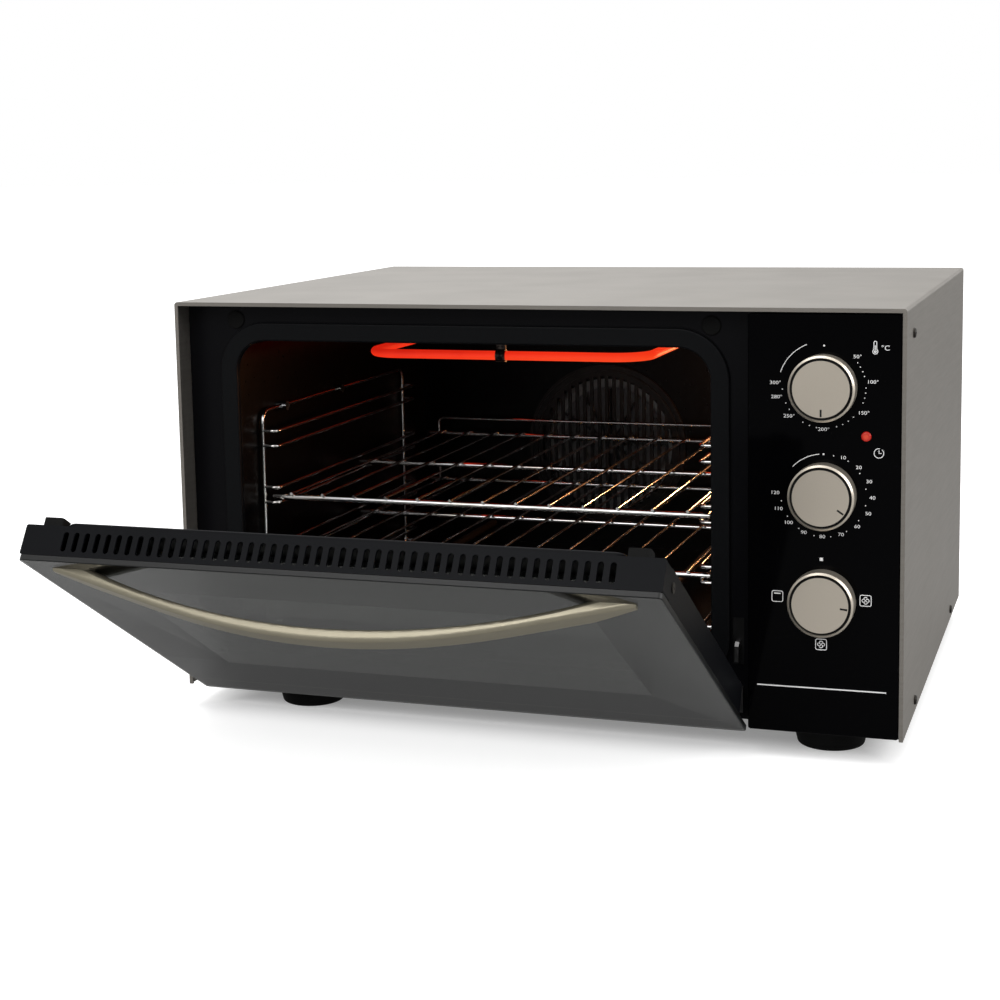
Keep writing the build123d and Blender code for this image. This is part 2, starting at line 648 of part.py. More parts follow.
def shelf(rung_z):
    """Wire shelf: three cross bars, long wires welded on top, and a low fence at the rear."""
    bar_z = rung_z + RUNG_R + FIT + SHELF_BAR_R
    x0 = cavity_x0 + SHELF_SIDE_GAP
    x1 = cavity_x1 - SHELF_SIDE_GAP
    rear_y = SHELF_FRONT_Y + SHELF_DEPTH
    grid = None
    for y in (SHELF_FRONT_Y, (SHELF_FRONT_Y + rear_y) / 2, rear_y):
        bar = rod_x(y, bar_z, SHELF_BAR_R, x0, x1)
        bar = fillet(bar.edges().filter_by(GeomType.CIRCLE), SHELF_BAR_R * 0.6)
        grid = bar if grid is None else grid + bar
    count = int((x1 - x0 - 2 * RUNG_STEP) / SHELF_WIRE_PITCH) + 1
    wire_z = bar_z + SHELF_BAR_R + SHELF_WIRE_R - SHELF_WELD
    wires = [
        disc_y(
            door_mid + (i - (count - 1) / 2) * SHELF_WIRE_PITCH, wire_z, SHELF_WIRE_R,
            SHELF_FRONT_Y - SHELF_OVERHANG, rear_y + SHELF_OVERHANG,
        )
        for i in range(count)
    ]
    grid += wires
    half = (count - 1) / 2 * SHELF_WIRE_PITCH + SHELF_WIRE_PITCH / 4
    fence_top = bar_z + FENCE_H
    fence_points = [
        (door_mid - half, rear_y, bar_z), (door_mid - half, rear_y, fence_top),
        (door_mid + half, rear_y, fence_top), (door_mid + half, rear_y, bar_z),
    ]
    return grid + wire_piece(fence_points, FENCE_R, RUNG_BEND)


# convection fan
def fan_grille():
    """Round grille with upright slats and two raised rings."""
    y0 = cavity_rear_y - GRILLE_T
    grille = disc_y(door_mid, fan_z, GRILLE_R, y0, cavity_rear_y)
    count = int(2 * GRILLE_OPEN_R / GRILLE_PITCH)
    slots = Sketch()
    for i in range(count):
        offset = (i - (count - 1) / 2) * GRILLE_PITCH
        half = math.sqrt(GRILLE_OPEN_R**2 - (abs(offset) + GRILLE_SLOT / 2) ** 2)
        slots += Pos(offset, 0) * Rectangle(GRILLE_SLOT, 2 * half)
    grille -= along_y(slots, door_mid, fan_z, y0 - CUT, cavity_rear_y + CUT)
    for radius in (GRILLE_R - GRILLE_RING_INSET, GRILLE_OPEN_R + GRILLE_RING_OUT):
        ring = Circle(radius + GRILLE_RING_W / 2) - Circle(radius - GRILLE_RING_W / 2)
        grille += along_y(ring, door_mid, fan_z, y0 - GRILLE_RING_H, y0)
    return grille


def fan_impeller():
    """Hub, back disc and radial blades."""
    y0 = cavity_rear_y + SHEET + IMPELLER_GAP
    y1 = y0 + IMPELLER_D
    fan = disc_y(door_mid, fan_z, HUB_R, y0, y1)
    fan += disc_y(door_mid, fan_z, IMPELLER_R, y1 - BLADE_T, y1)
    for i in range(BLADES):
        blade = block(
            BLADE_OFFSET, BLADE_OFFSET + BLADE_T, y0, y1 - BLADE_T / 2,
            HUB_R - CUT, IMPELLER_R - BLADE_TIP_INSET,
        )
        fan += Pos(door_mid, 0, fan_z) * Rot(0, 360 * i / BLADES, 0) * blade
    return fan - disc_y(door_mid, fan_z, SHAFT_R, y0 - CUT, y1 + CUT)


def motor_front_y():
    return cavity_rear_y + SHEET + HOUSING_D


def motor_shaft():
    y0 = cavity_rear_y + SHEET + IMPELLER_GAP - SHAFT_PAST_HUB
    y1 = motor_front_y() + MOTOR_L - MOTOR_CAP_T - SHAFT_END_GAP
    return disc_y(door_mid, fan_z, SHAFT_R, y0, y1)


def fan_housing():
    """Shallow cup behind the cavity that the fan turns in and the motor is fixed to."""
    y0 = cavity_rear_y + SHEET
    y1 = motor_front_y()
    cup = disc_y(door_mid, fan_z, HOUSING_R, y0, y1)
    cup -= disc_y(door_mid, fan_z, HOUSING_R - SHEET, y0 - CUT, y1 - SHEET)
    return cup - disc_y(door_mid, fan_z, SHAFT_R + HOUSING_HOLE_PLAY, y0, y1 + CUT)


def fan_motor():
    """Shaded-pole motor: round stack with two fixing lugs and a bored front boss."""
    y0 = motor_front_y()
    motor = disc_y(door_mid, fan_z, MOTOR_R, y0, y0 + MOTOR_L)
    motor = fillet(motor.edges().sort_by(Axis.Y)[-1], MOTOR_ROUND)
    reach = MOTOR_R + LUG_L
    motor += block(
        door_mid - reach, door_mid + reach, y0, y0 + LUG_T, fan_z - LUG_W / 2, fan_z + LUG_W / 2
    )
    bore_end = y0 + MOTOR_L - MOTOR_CAP_T
    return motor - disc_y(door_mid, fan_z, SHAFT_R + SHAFT_PLAY, y0 - CUT, bore_end)


# controls
def control_panel():
    """Glossy front of the controls, with holes for three shafts and the lamp."""
    plate = block(panel_x0, panel_x1, PANEL_FACE_Y, panel_back_y, PANEL_LOW, panel_top)
    plate = fillet(plate.edges().filter_by(Axis.Y), PANEL_CORNER_R)
    plate = chamfer(plate.faces().sort_by(Axis.Y)[0].edges(), GLASS_BEVEL)
    front = PANEL_FACE_Y - CUT
    rear = panel_back_y + CUT
    for z in knob_z:
        plate -= disc_y(knob_x, z, SHAFT_R + PANEL_HOLE_PLAY, front, rear)
    return plate - disc_y(lamp_x, lamp_z, LAMP_R + SEAT_PLAY, front, rear)


def control_bezel():
    """Deep plastic frame that carries the panel in front of the fascia."""
    frame = block(panel_x0, panel_x1, panel_back_y, RECESS, PANEL_LOW, panel_top)
    wall = BEZEL_WALL
    return frame - block(
        panel_x0 + wall, panel_x1 - wall, panel_back_y - CUT, RECESS + CUT,
        PANEL_LOW + wall, panel_top - wall,
    )


def neon_lamp():
    """Small domed lens and the lamp body behind the panel."""
    lens = disc_y(lamp_x, lamp_z, LAMP_R, PANEL_FACE_Y - LENS_OUT, panel_back_y)
    lens = fillet(lens.edges().sort_by(Axis.Y)[0], LENS_ROUND)
    return lens + disc_y(lamp_x, lamp_z, LAMP_R + LAMP_LIP, panel_back_y, panel_back_y + LAMP_BODY_L)


def control_body(z):
    """Switch body behind the panel, with a bushing that its shaft turns in."""
    half = CONTROL_BODY_W / 2
    y0 = panel_back_y + BUSHING_L
    body = block(knob_x - half, knob_x + half, y0, y0 + CONTROL_BODY_D, z - half, z + half)
    body = fillet(body.edges().filter_by(Axis.Y), CONTROL_BODY_R)
    body += disc_y(knob_x, z, BUSHING_R, panel_back_y, y0)
    bore_end = y0 + CONTROL_BODY_D - CONTROL_END_T
    return body - disc_y(knob_x, z, SHAFT_R + SHAFT_PLAY, panel_back_y - CUT, bore_end)


def control_shaft(z):
    y0 = PANEL_FACE_Y - SHAFT_OUT
    y1 = panel_back_y + BUSHING_L + CONTROL_BODY_D - CONTROL_END_T - SHAFT_END_GAP
    return disc_y(knob_x, z, SHAFT_R, y0, y1)


def knob(z, pointer_clockwise):
    """Round knob with a bevelled rim, a dark groove ring and a pointer notch on its face."""
    base_y = PANEL_FACE_Y - FIT
    top_y = base_y - KNOB_H
    body = disc_y(0, 0, KNOB_R, top_y, base_y)
    body = chamfer(body.edges().sort_by(Axis.Y)[0], KNOB_BEVEL)
    ring = Circle(KNOB_FACE_R + KNOB_GROOVE_W) - Circle(KNOB_FACE_R)
    body -= along_y(ring, 0, 0, top_y - CUT, top_y + KNOB_GROOVE_D)
    tip = KNOB_FACE_R - POINTER_INSET
    pointer = block(
        -POINTER_W / 2, POINTER_W / 2, top_y - CUT, top_y + POINTER_D, tip - POINTER_L, tip
    )
    body -= Rot(0, pointer_clockwise, 0) * pointer
    body -= disc_y(0, 0, KNOB_R - KNOB_WALL, base_y - KNOB_HOLLOW_D, base_y + CUT)
    body += disc_y(0, 0, SHAFT_R + KNOB_BOSS_WALL, base_y - KNOB_HOLLOW_D - CUT, base_y)
    body -= disc_y(0, 0, SHAFT_R, PANEL_FACE_Y - SHAFT_OUT, base_y + CUT)
    return Pos(knob_x, 0, z) * body


# door, drawn shut
def in_door(x0, x1, in0, in1, up0, up1):
    """A box in the shut door: inward from the glass face and up from the bottom edge."""
    return block(x0, x1, door_face_y + in0, door_face_y + in1, DOOR_LOW + up0, DOOR_LOW + up1)


def door_glass():
    pane = in_door(door_x0, door_x1, 0, GLASS_T, 0, door_h)
    pane = fillet(pane.edges().filter_by(Axis.Y), GLASS_CORNER_R)
    return chamfer(pane.faces().sort_by(Axis.Y)[0].edges(), GLASS_BEVEL)


def window_box(grow, in0, in1):
    """The see-through part of the door, grown all round by a lap."""
    return in_door(
        door_x0 + WINDOW_SIDE - grow, door_x1 - WINDOW_SIDE + grow, in0, in1,
        WINDOW_LOW - grow, door_h - WINDOW_TOP_GAP + grow,
    )


def door_border():
    """Dark print on the back of the outer glass, around the window."""
    inset = BORDER_INSET
    sheet = in_door(
        door_x0 + inset, door_x1 - inset, GLASS_T, GLASS_T + BORDER_T, inset, door_h - inset
    )
    return sheet - window_box(0, 0, DOOR_T)


def rail_front():
    return GLASS_T + BORDER_T


def door_top_rail():
    """Channel across the top of the door, with a row of vent slots in its upper face."""
    low = door_h - TOP_RAIL_H
    rail = in_door(door_x0, door_x1, rail_front(), DOOR_T, low, door_h)
    rail = fillet(rail.edges().filter_by(Axis.Z), RAIL_ROUND)
    wall = RAIL_WALL
    rail -= in_door(
        door_x0 + wall, door_x1 - wall, rail_front() + wall, DOOR_T - wall,
        low - CUT, door_h - wall,
    )
    count = int((door_x1 - door_x0 - 2 * SLOT_MARGIN) / SLOT_PITCH) + 1
    slots = Sketch() + [
        Pos((i - (count - 1) / 2) * SLOT_PITCH, 0) * SlotOverall(SLOT_L, SLOT_W, rotation=90)
        for i in range(count)
    ]
    middle = door_face_y + (rail_front() + DOOR_T) / 2 - SLOT_FORWARD
    return rail - Pos(door_mid, middle, DOOR_LOW + door_h - 2 * wall) * extrude(slots, 3 * wall)


def door_side_rail(side):
    """Channel up one side of the door, open towards the middle, with a wide flange at the rear."""
    edge = door_x0 if side < 0 else door_x1
    low = BOTTOM_RAIL_LOW + BOTTOM_RAIL_H
    high = door_h - TOP_RAIL_H
    x0, x1 = sorted((edge, edge - side * RAIL_W))
    rail = in_door(x0, x1, rail_front(), DOOR_T, low, high)
    wall = RAIL_WALL
    x0, x1 = sorted((edge - side * wall, edge - side * (RAIL_W + CUT)))
    rail -= in_door(x0, x1, rail_front() + wall, DOOR_T - wall, low + wall, high - wall)
    x0, x1 = sorted((edge - side * wall, edge - side * (INNER_FRAME_SIDE + RAIL_SEAT)))
    rail += in_door(x0, x1, DOOR_T - wall, DOOR_T, low, high)
    screw_z = DOOR_LOW + door_h - DOOR_END_SCREW_DROP
    screw_y = door_face_y + (rail_front() + DOOR_T) / 2
    return rail - rod_x(screw_y, screw_z, SCREW_SHANK_R, edge - 2 * wall, edge + 2 * wall)


def door_screws():
    """One flat-headed screw in each end of the door."""
    z = DOOR_LOW + door_h - DOOR_END_SCREW_DROP
    y = door_face_y + (rail_front() + DOOR_T) / 2
    head = Pos(0, 0, END_SCREW_H / 2) * Cylinder(SCREW_HEAD_R, END_SCREW_H)
    head -= Pos(0, 0, END_SCREW_H) * Box(SCREW_HEAD_R, END_SCREW_H, END_SCREW_H)
    shank = Pos(0, 0, -SCREW_LENGTH / 2) * Cylinder(SCREW_SHANK_R, SCREW_LENGTH)
    return Compound(children=[
        Pos(edge, y, z) * Rot(0, 90 * side, 0) * (head + shank)
        for side, edge in ((-1, door_x0), (1, door_x1))
    ])


def door_bottom_rail():
    """Hollow rail between the hinge ears, with a thick end at each side for a pin."""
    x0 = door_x0 + RAIL_W + RAIL_GAP
    x1 = door_x1 - RAIL_W - RAIL_GAP
    low = BOTTOM_RAIL_LOW
    rail = in_door(x0, x1, rail_front(), DOOR_T, low, low + BOTTOM_RAIL_H)
    wall = RAIL_WALL
    rail -= in_door(
        x0 + PIN_BLOCK_L, x1 - PIN_BLOCK_L, rail_front() + wall, DOOR_T - wall,
        low + wall, low + BOTTOM_RAIL_H - wall,
    )
    return rail - rod_x(hinge_y, hinge_z, HINGE_PIN_R, x0 - CUT, x1 + CUT)


def hinge_pin(side):
    """Steel pin from the bottom rail out through the ear."""
    reach = RAIL_W + RAIL_GAP + HINGE_PIN_IN
    inner = door_x0 + reach if side < 0 else door_x1 - reach
    outer = inner + side * (HINGE_PIN_IN + HINGE_PIN_OUT)
    x0, x1 = sorted((inner, outer))
    pin = rod_x(hinge_y, hinge_z, HINGE_PIN_R, x0, x1)
    return chamfer(pin.edges().filter_by(GeomType.CIRCLE), PIN_BEVEL)


def door_inner_frame():
    """Pressed frame on the room side of the door, around the inner glass."""
    x0 = door_x0 + INNER_FRAME_SIDE
    x1 = door_x1 - INNER_FRAME_SIDE
    low = BOTTOM_RAIL_LOW + BOTTOM_RAIL_H - INNER_FRAME_LAP
    high = door_h - INNER_FRAME_TOP_GAP
    face = DOOR_T + DOOR_STEP
    frame = in_door(x0, x1, DOOR_T, face, low, high)
    frame = fillet(frame.edges().filter_by(Axis.Y), INNER_FRAME_R)
    frame = fillet(frame.faces().sort_by(Axis.Y)[-1].edges(), RAIL_ROUND)
    wall = INNER_FRAME_WALL
    inner_face = face - INNER_FRAME_T
    frame -= in_door(x0 + wall, x1 - wall, DOOR_T - CUT, inner_face, low + wall, high - wall)
    return frame - window_box(-INNER_WINDOW_STEP, DOOR_T - CUT, face + CUT)


def door_inner_glass():
    face = DOOR_T + DOOR_STEP - INNER_FRAME_T
    return window_box(INNER_GLASS_LAP, face - GLASS_T, face)


def door_stop(x):
    """Rubber stop on the door's inner face, near its top corner."""
    high = door_h - STOP_DROP
    pad = in_door(x - STOP_W / 2, x + STOP_W / 2, DOOR_T, DOOR_T + stop_depth, high - STOP_H, high)
    return fillet(pad.edges().filter_by(Axis.Y), STOP_ROUND)


def door_handle():
    """Arched bar: a crescent in plan, with flat leaf-shaped tips that lie on the glass."""
    half = HANDLE_SPAN / 2
    outer_half = half + HANDLE_TIP
    outer_rise = HANDLE_RISE + HANDLE_PAD_T
    inner_half = half - HANDLE_PAD_T
    crescent = make_face(
        Polyline((-inner_half, 0), (-outer_half, 0), (-outer_half, -HANDLE_TIP_T))
        + Spline(
            (-outer_half, -HANDLE_TIP_T), (-half, -HANDLE_SHOULDER),
            (-half / 2, -HANDLE_ARCH * outer_rise), (0, -outer_rise), (half / 2, -HANDLE_ARCH * outer_rise),
            (half, -HANDLE_SHOULDER), (outer_half, -HANDLE_TIP_T),
        )
        + Polyline((outer_half, -HANDLE_TIP_T), (outer_half, 0), (inner_half, 0))
        + ThreePointArc((inner_half, 0), (0, HANDLE_BAR_T - outer_rise), (-inner_half, 0))
    )
    bar = extrude(crescent, HANDLE_BAR_H)
    top = HANDLE_BAR_H
    front = make_face(
        Polyline((-outer_half, top), (-outer_half, top - HANDLE_TIP_H))
        + Spline(
            (-outer_half, top - HANDLE_TIP_H), (-half, top - HANDLE_SHOULDER_H), (0, -CUT),
            (half, top - HANDLE_SHOULDER_H), (outer_half, top - HANDLE_TIP_H),
        )
        + Polyline((outer_half, top - HANDLE_TIP_H), (outer_half, top), (-outer_half, top))
    )
    bar &= Pos(0, CUT, 0) * extrude(Plane.XZ * front, outer_rise + 2 * CUT)
    bar = fillet(bar.edges().filter_by(lambda e: e.length > half), HANDLE_ROUND)
    high = DOOR_LOW + door_h - HANDLE_TOP_GAP
    return Pos(door_mid, door_face_y, high - HANDLE_BAR_H) * bar


def swung_open(shape):
    """The shut door's piece, turned about the hinge line to how far the door stands open."""
    return Pos(0, hinge_y, hinge_z) * Rot(DOOR_ANGLE, 0, 0) * Pos(0, -hinge_y, -hinge_z) * shape


nodes = {}


def add(name, shape):
    nodes[name] = shape


add("casing_wrap", casing_wrap())
add("side_screws", side_screws())
add("base_pan", base_pan())
add("back_panel", back_panel())
add("motor_cover", motor_cover())
add("power_inlet", power_inlet())
add("divider_wall", divider_wall())
for end, y in (("front", FOOT_INSET_Y), ("rear", CASE_D - FOOT_INSET_Y)):
    for side, x in (("left", FOOT_LEFT_X), ("right", CASE_W - FOOT_RIGHT_INSET)):
        add(f"foot_{end}_{side}", foot(x, y))

add("front_fascia", front_fascia())
add("door_gasket", door_gasket())
add("fascia_plugs", fascia_plugs())
for side, x in zip(("left", "right"), sides(HOOK_FROM_DOOR_EDGE)):
    add(f"hinge_hook_{side}", hinge_hook(x))
for side, x in zip(("left", "right"), sides(BRACKET_FROM_SIDE)):
    add(f"hinge_bracket_{side}", hinge_bracket(x))

add("cavity_liner", cavity_liner())
add("upper_element", element(upper_element_z))
add("lower_element", element(lower_element_z))
add("upper_element_clip", element_clip(upper_element_z, CAVITY_FLOOR + cavity_h))
add("lower_element_clip", element_clip(lower_element_z, CAVITY_FLOOR))
for side, sign in (("left", -1), ("right", 1)):
    add(f"side_rack_{side}", side_rack(sign))
add("rack_studs", rack_studs())
add("upper_shelf", shelf(level_z[2]))
add("lower_shelf", shelf(level_z[1]))

add("fan_grille", fan_grille())
add("fan_impeller", fan_impeller())
add("motor_shaft", motor_shaft())
add("fan_housing", fan_housing())
add("fan_motor", fan_motor())

add("control_panel", control_panel())
add("control_bezel", control_bezel())
add("neon_lamp", neon_lamp())
POINTERS = {"selector": 96.0, "timer": 124.0, "thermostat": 180.0}
for (name, pointer), z in zip(POINTERS.items(), knob_z):
    add(f"{name}_body", control_body(z))
    add(f"{name}_shaft", control_shaft(z))
    add(f"{name}_knob", knob(z, pointer))

add("door_glass", swung_open(door_glass()))
add("door_border", swung_open(door_border()))
add("door_top_rail", swung_open(door_top_rail()))
add("door_bottom_rail", swung_open(door_bottom_rail()))
add("door_inner_frame", swung_open(door_inner_frame()))
add("door_inner_glass", swung_open(door_inner_glass()))
add("door_handle", swung_open(door_handle()))
add("door_screws", swung_open(door_screws()))
for side, sign in (("left", -1), ("right", 1)):
    add(f"door_side_{side}", swung_open(door_side_rail(sign)))
    add(f"hinge_pin_{side}", swung_open(hinge_pin(sign)))

for side, x in zip(("left", "right"), sides(STOP_FROM_SIDE)):
    add(f"door_stop_{side}", swung_open(door_stop(x)))

# the origin goes to the middle of the footprint, at the soles
extent = Compound(children=[Compound(children=shape.solids()) for shape in nodes.values()])
extent = extent.bounding_box()
to_origin = Pos(-extent.center().X, -extent.center().Y, -extent.min.Z)
print("moved by", to_origin.position)
print("size", extent.size)
for name, point in {
    "door_hinge": (door_mid, hinge_y, hinge_z),
    "selector_turn": (knob_x, 0, knob_z[0]),
    "timer_turn": (knob_x, 0, knob_z[1]),
    "thermostat_turn": (knob_x, 0, knob_z[2]),
    "fan_spin": (door_mid, cavity_rear_y, fan_z),
}.items():
    print(name, to_origin.position + Vector(*point))

os.makedirs("parts", exist_ok=True)
for name, shape in nodes.items():
    export_step(to_origin * shape, f"parts/{name}.step")
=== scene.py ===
"""Looks of a countertop electric oven with its glass door half open, on a pale studio floor."""
import math

import bmesh
import bpy
from mathutils import Matrix, Vector


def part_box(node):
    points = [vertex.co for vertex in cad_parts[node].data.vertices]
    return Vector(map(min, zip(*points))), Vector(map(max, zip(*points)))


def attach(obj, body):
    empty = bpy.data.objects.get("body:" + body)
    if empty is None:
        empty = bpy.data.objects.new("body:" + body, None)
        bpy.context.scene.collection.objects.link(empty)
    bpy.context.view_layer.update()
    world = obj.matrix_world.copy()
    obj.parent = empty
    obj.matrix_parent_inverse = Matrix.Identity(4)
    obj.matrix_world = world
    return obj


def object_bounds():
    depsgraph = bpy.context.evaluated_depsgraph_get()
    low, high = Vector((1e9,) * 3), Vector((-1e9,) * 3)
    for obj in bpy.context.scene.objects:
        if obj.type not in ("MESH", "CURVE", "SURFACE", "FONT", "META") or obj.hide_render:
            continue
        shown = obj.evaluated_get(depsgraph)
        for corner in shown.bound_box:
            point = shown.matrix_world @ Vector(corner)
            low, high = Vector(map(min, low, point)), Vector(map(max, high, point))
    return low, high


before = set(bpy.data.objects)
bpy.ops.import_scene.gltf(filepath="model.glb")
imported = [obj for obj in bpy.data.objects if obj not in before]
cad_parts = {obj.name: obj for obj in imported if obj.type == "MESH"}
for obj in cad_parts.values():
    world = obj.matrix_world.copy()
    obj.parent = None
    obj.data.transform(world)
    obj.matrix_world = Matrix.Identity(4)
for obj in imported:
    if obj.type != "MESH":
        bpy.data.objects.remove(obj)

cad_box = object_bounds()
MM = 0.001

# the door, as it stands at rest
DOOR_ANGLE = math.radians(58)  # from upright
PANE_NORMAL = (0, math.cos(DOOR_ANGLE), math.sin(DOOR_ANGLE))
RULE_UP = 11 * MM  # the pale rule's height above the hinge, along the door
RULE_W = 0.4 * MM

# finishes
ELEMENT_GLOW = 1.0
LAMP_GLOW = 0.3
PANEL_GLOSS = 0.05
KNOB_LINES = 2600.0  # how finely the knobs' faces are turned, per metre
KNOB_FACE_R = 22.5 * MM  # where a knob's turned face ends and its rim starts

# print on the control panel
PRINT_DEPTH = 0.08 * MM
INK_LINE = 0.52 * MM
NUMBER_H = 2.5 * MM
NUMBER_OVAL = (35.2 * MM, 30.6 * MM)
SIGN_H = 3.6 * MM
DOT_RING = 30.0 * MM
DOT_R = 0.42 * MM
TOP_MARK_R = 2 * DOT_R
SQUARE = 4  # corners of a dot that is drawn as a square
FUNCTION_SIGN_HALF = 4.0 * MM
CAPITAL_SHARE = 0.7  # of the font's size

# the floor's own light, as the camera sees it, rises from under the casing to beside it; the lower level
# under the casing is a painted shadow
FLOOR_HALF = 30.0
FLOOR_PAINT = 0.82
# the floor's glow under the casing: a painted shadow
FLOOR_LIFT_PAINTED_SHADOW = 0.22
FLOOR_LIFT = 0.76
FLOOR_LIFT_FROM = -50 * MM
FLOOR_LIFT_TO = 30 * MM
FLOOR_WHITE_FROM = 0.1
FLOOR_WHITE_TO = 1.2
FLOOR_MIRRORED = 0.2  # its level in mirrored rays
FLOOR_EVENED = 0.7  # how much of it mirrored rays see at that level, whatever the lamps do

# the room's light, and how mirrored rays see it by their direction: each tuple is what
# look.between takes after the direction's x, y or z
ROOM_FILL = 0.55
ROOM_FRONT = 0.42
BEHIND_BY_Y = (-0.35, 0.3)
BEHIND_BY_X_LEFT = (-0.35, 0.0, 1.0, 0.3)
BEHIND_BY_X_RIGHT = (0.12, 0.4)
ABOVE_BY_Z = (0.25, 0.8)
ABOVE_BY_X = (-0.7, 0.0, 0.5, 1.0)
SIDES_BY_X = (0.3, 0.9, 0.0, 0.4)

# the camera, fitted to the photograph
FRAME_PX = 1000
FOCAL_PX = 1848.0
SENSOR_MM = 36.0
CAMERA_PLACE = (0.4363, -1.4326, 0.4470)
CAMERA_YAW = math.radians(-18.831)
CAMERA_PITCH = math.radians(-7.524)
CAMERA_ROLL = math.radians(-1.036)
CAMERA_SHIFT_UP = -0.1


def linear(red, green, blue):
    """A display colour of 0 to 255 a channel as the linear colour that shaders take."""
    channels = [value / 255 for value in (red, green, blue)]
    return tuple(v / 12.92 if v <= 0.04045 else ((v + 0.055) / 1.055) ** 2.4 for v in channels) + (1.0,)


def grey(level):
    return (level, level, level, 1.0)


def middle(node):
    """The middle of a node's box."""
    low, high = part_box(node)
    return (low + high) / 2


def both(stem):
    """The names of a left and right pair."""
    return [stem + "_left", stem + "_right"]


class Socket:
    """A value or colour between shader nodes. Arithmetic on it adds Math nodes."""

    def __init__(self, look, socket):
        self.look = look
        self.socket = socket

    def math(self, operation, *values):
        return self.look.node("Math", {"operation": operation}, dict(enumerate(values)))

    def __add__(self, other):
        return self.math("ADD", self, other)

    __radd__ = __add__

    def __sub__(self, other):
        return self.math("SUBTRACT", self, other)

    def __rsub__(self, other):
        return self.math("SUBTRACT", other, self)

    def __mul__(self, other):
        return self.math("MULTIPLY", self, other)

    __rmul__ = __mul__

    def __pow__(self, other):
        return self.math("POWER", self, other)

    def __abs__(self):
        return self.math("ABSOLUTE", self)

    def at_most(self, other):
        return self.math("MINIMUM", self, other)

    def at_least(self, other):
        return self.math("MAXIMUM", self, other)


class Look:
    """One material, or the world, and the nodes behind it."""

    # the Mix node has several sockets of one name, so those for colours go by number
    MIX_FACTOR = 0
    MIX_FIRST = 6
    MIX_SECOND = 7
    MIX_RESULT = 2

    def __init__(self, name, owner=None):
        self.owner = owner or bpy.data.materials.new(name)
        self.owner.use_nodes = True
        self.tree = self.owner.node_tree
        self.tree.nodes.clear()

    def node(self, kind, settings=None, sockets=None, out=0):
        """Adds a node, sets it up, fills its sockets with values or links, and gives one output."""
        made = self.tree.nodes.new("ShaderNode" + kind)
        for name, value in (settings or {}).items():
            if name == "stops":
                self.fill_ramp(made.color_ramp, value)
            else:
                setattr(made, name, value)
        for name, value in (sockets or {}).items():
            if isinstance(value, Socket):
                self.tree.links.new(value.socket, made.inputs[name])
            else:
                made.inputs[name].default_value = value
        return Socket(self, made.outputs[out]) if len(made.outputs) else made

    @staticmethod
    def fill_ramp(ramp, stops):
        while len(ramp.elements) < len(stops):
            ramp.elements.new(0.5)
        for element, (place, colour) in zip(ramp.elements, stops):
            element.position = place
            element.color = colour

    def place(self, stretch=(1, 1, 1)):
        """The point being shaded, in metres in the object's own frame."""
        point = self.node("TexCoord", out="Object")
        if stretch == (1, 1, 1):
            return point
        return self.node("VectorMath", {"operation": "MULTIPLY"}, {0: point, 1: stretch})

    def normal(self):
        """Which way the surface faces, in the object's own frame."""
        return self.node("TexCoord", out="Normal")

    def parts(self, vector):
        """The x, y and z of a vector."""
        return [self.node("SeparateXYZ", {}, {"Vector": vector}, out=axis) for axis in "XYZ"]

    def noise(self, size, detail=3.0, stretch=(1, 1, 1)):
        """Smooth noise from 0 to 1 whose features are about this many metres across."""
        sockets = {"Vector": self.place(stretch), "Scale": 1 / size, "Detail": detail}
        return self.node("TexNoise", {}, sockets)

    def specks(self, size):
        """Distance to the nearest of many scattered points, this many metres apart."""
        return self.node("TexVoronoi", {}, {"Vector": self.place(), "Scale": 1 / size})

    def between(self, value, low, high, to_low=0.0, to_high=1.0):
        """Eases from to_low to to_high as value goes from low to high."""
        settings = {"interpolation_type": "SMOOTHSTEP"}
        sockets = {"Value": value, "From Min": low, "From Max": high, "To Min": to_low, "To Max": to_high}
        return self.node("MapRange", settings, sockets)

    def mix(self, factor, first, second):
        """First colour where factor is 0, second where it is 1."""
        sockets = {self.MIX_FACTOR: factor, self.MIX_FIRST: first, self.MIX_SECOND: second}
        return self.node("Mix", {"data_type": "RGBA"}, sockets, out=self.MIX_RESULT)

    def blend(self, factor, first, second):
        """First shader where factor is 0, second where it is 1."""
        return self.node("MixShader", {}, dict(enumerate((factor, first, second))))

    def emission(self, colour, strength=1.0):
        return self.node("Emission", {}, {"Color": colour, "Strength": strength})

    def bump(self, height, depth, strength=1.0):
        return self.node("Bump", {}, {"Height": height, "Distance": depth, "Strength": strength})

    def ray_is(self, *kinds):
        """1 for rays of any of these kinds."""
        found = [self.node("LightPath", out=f"Is {kind} Ray") for kind in kinds]
        return sum(found[1:], found[0]).at_most(1.0)

    def finish(self, base, roughness, **more):
        """The surface shader, with more of its sockets by name, and the material's output."""
        sockets = {"Base Color": base, "Roughness": roughness}
        sockets.update({name.replace("_", " "): value for name, value in more.items()})
        surface = self.node("BsdfPrincipled", {}, sockets)
        self.node("OutputMaterial", {}, {"Surface": surface})
        return self.owner


def ring_distance(look, centre):
    """How far, in metres, a point lies from an axis that runs in depth through a centre."""
    x, _, z = look.parts(look.place())
    across = x - centre.x
    up = z - centre.z
    return (across * across + up * up) ** 0.5


# finishes

def casing_paint():
    """Warm silver metallic coat with a fine even grain and a trace of drawn lines."""
    look = Look("casing_paint")
    flake = look.noise(0.5 * MM, detail=2.0)
    drawn = look.noise(2.2 * MM, detail=2.0, stretch=(0.04, 0.04, 1.0))
    cloud = look.noise(140 * MM, detail=2.0)
    grain = flake * 0.6 + drawn * 0.4
    base = look.mix(look.between(grain, 0.3, 0.7), linear(144, 139, 132), linear(159, 154, 147))
    roughness = 0.34 + flake * 0.08 + cloud * 0.06
    normal = look.bump(grain, depth=0.02 * MM, strength=0.35)
    return look.finish(base, roughness, Metallic=0.85, Normal=normal)


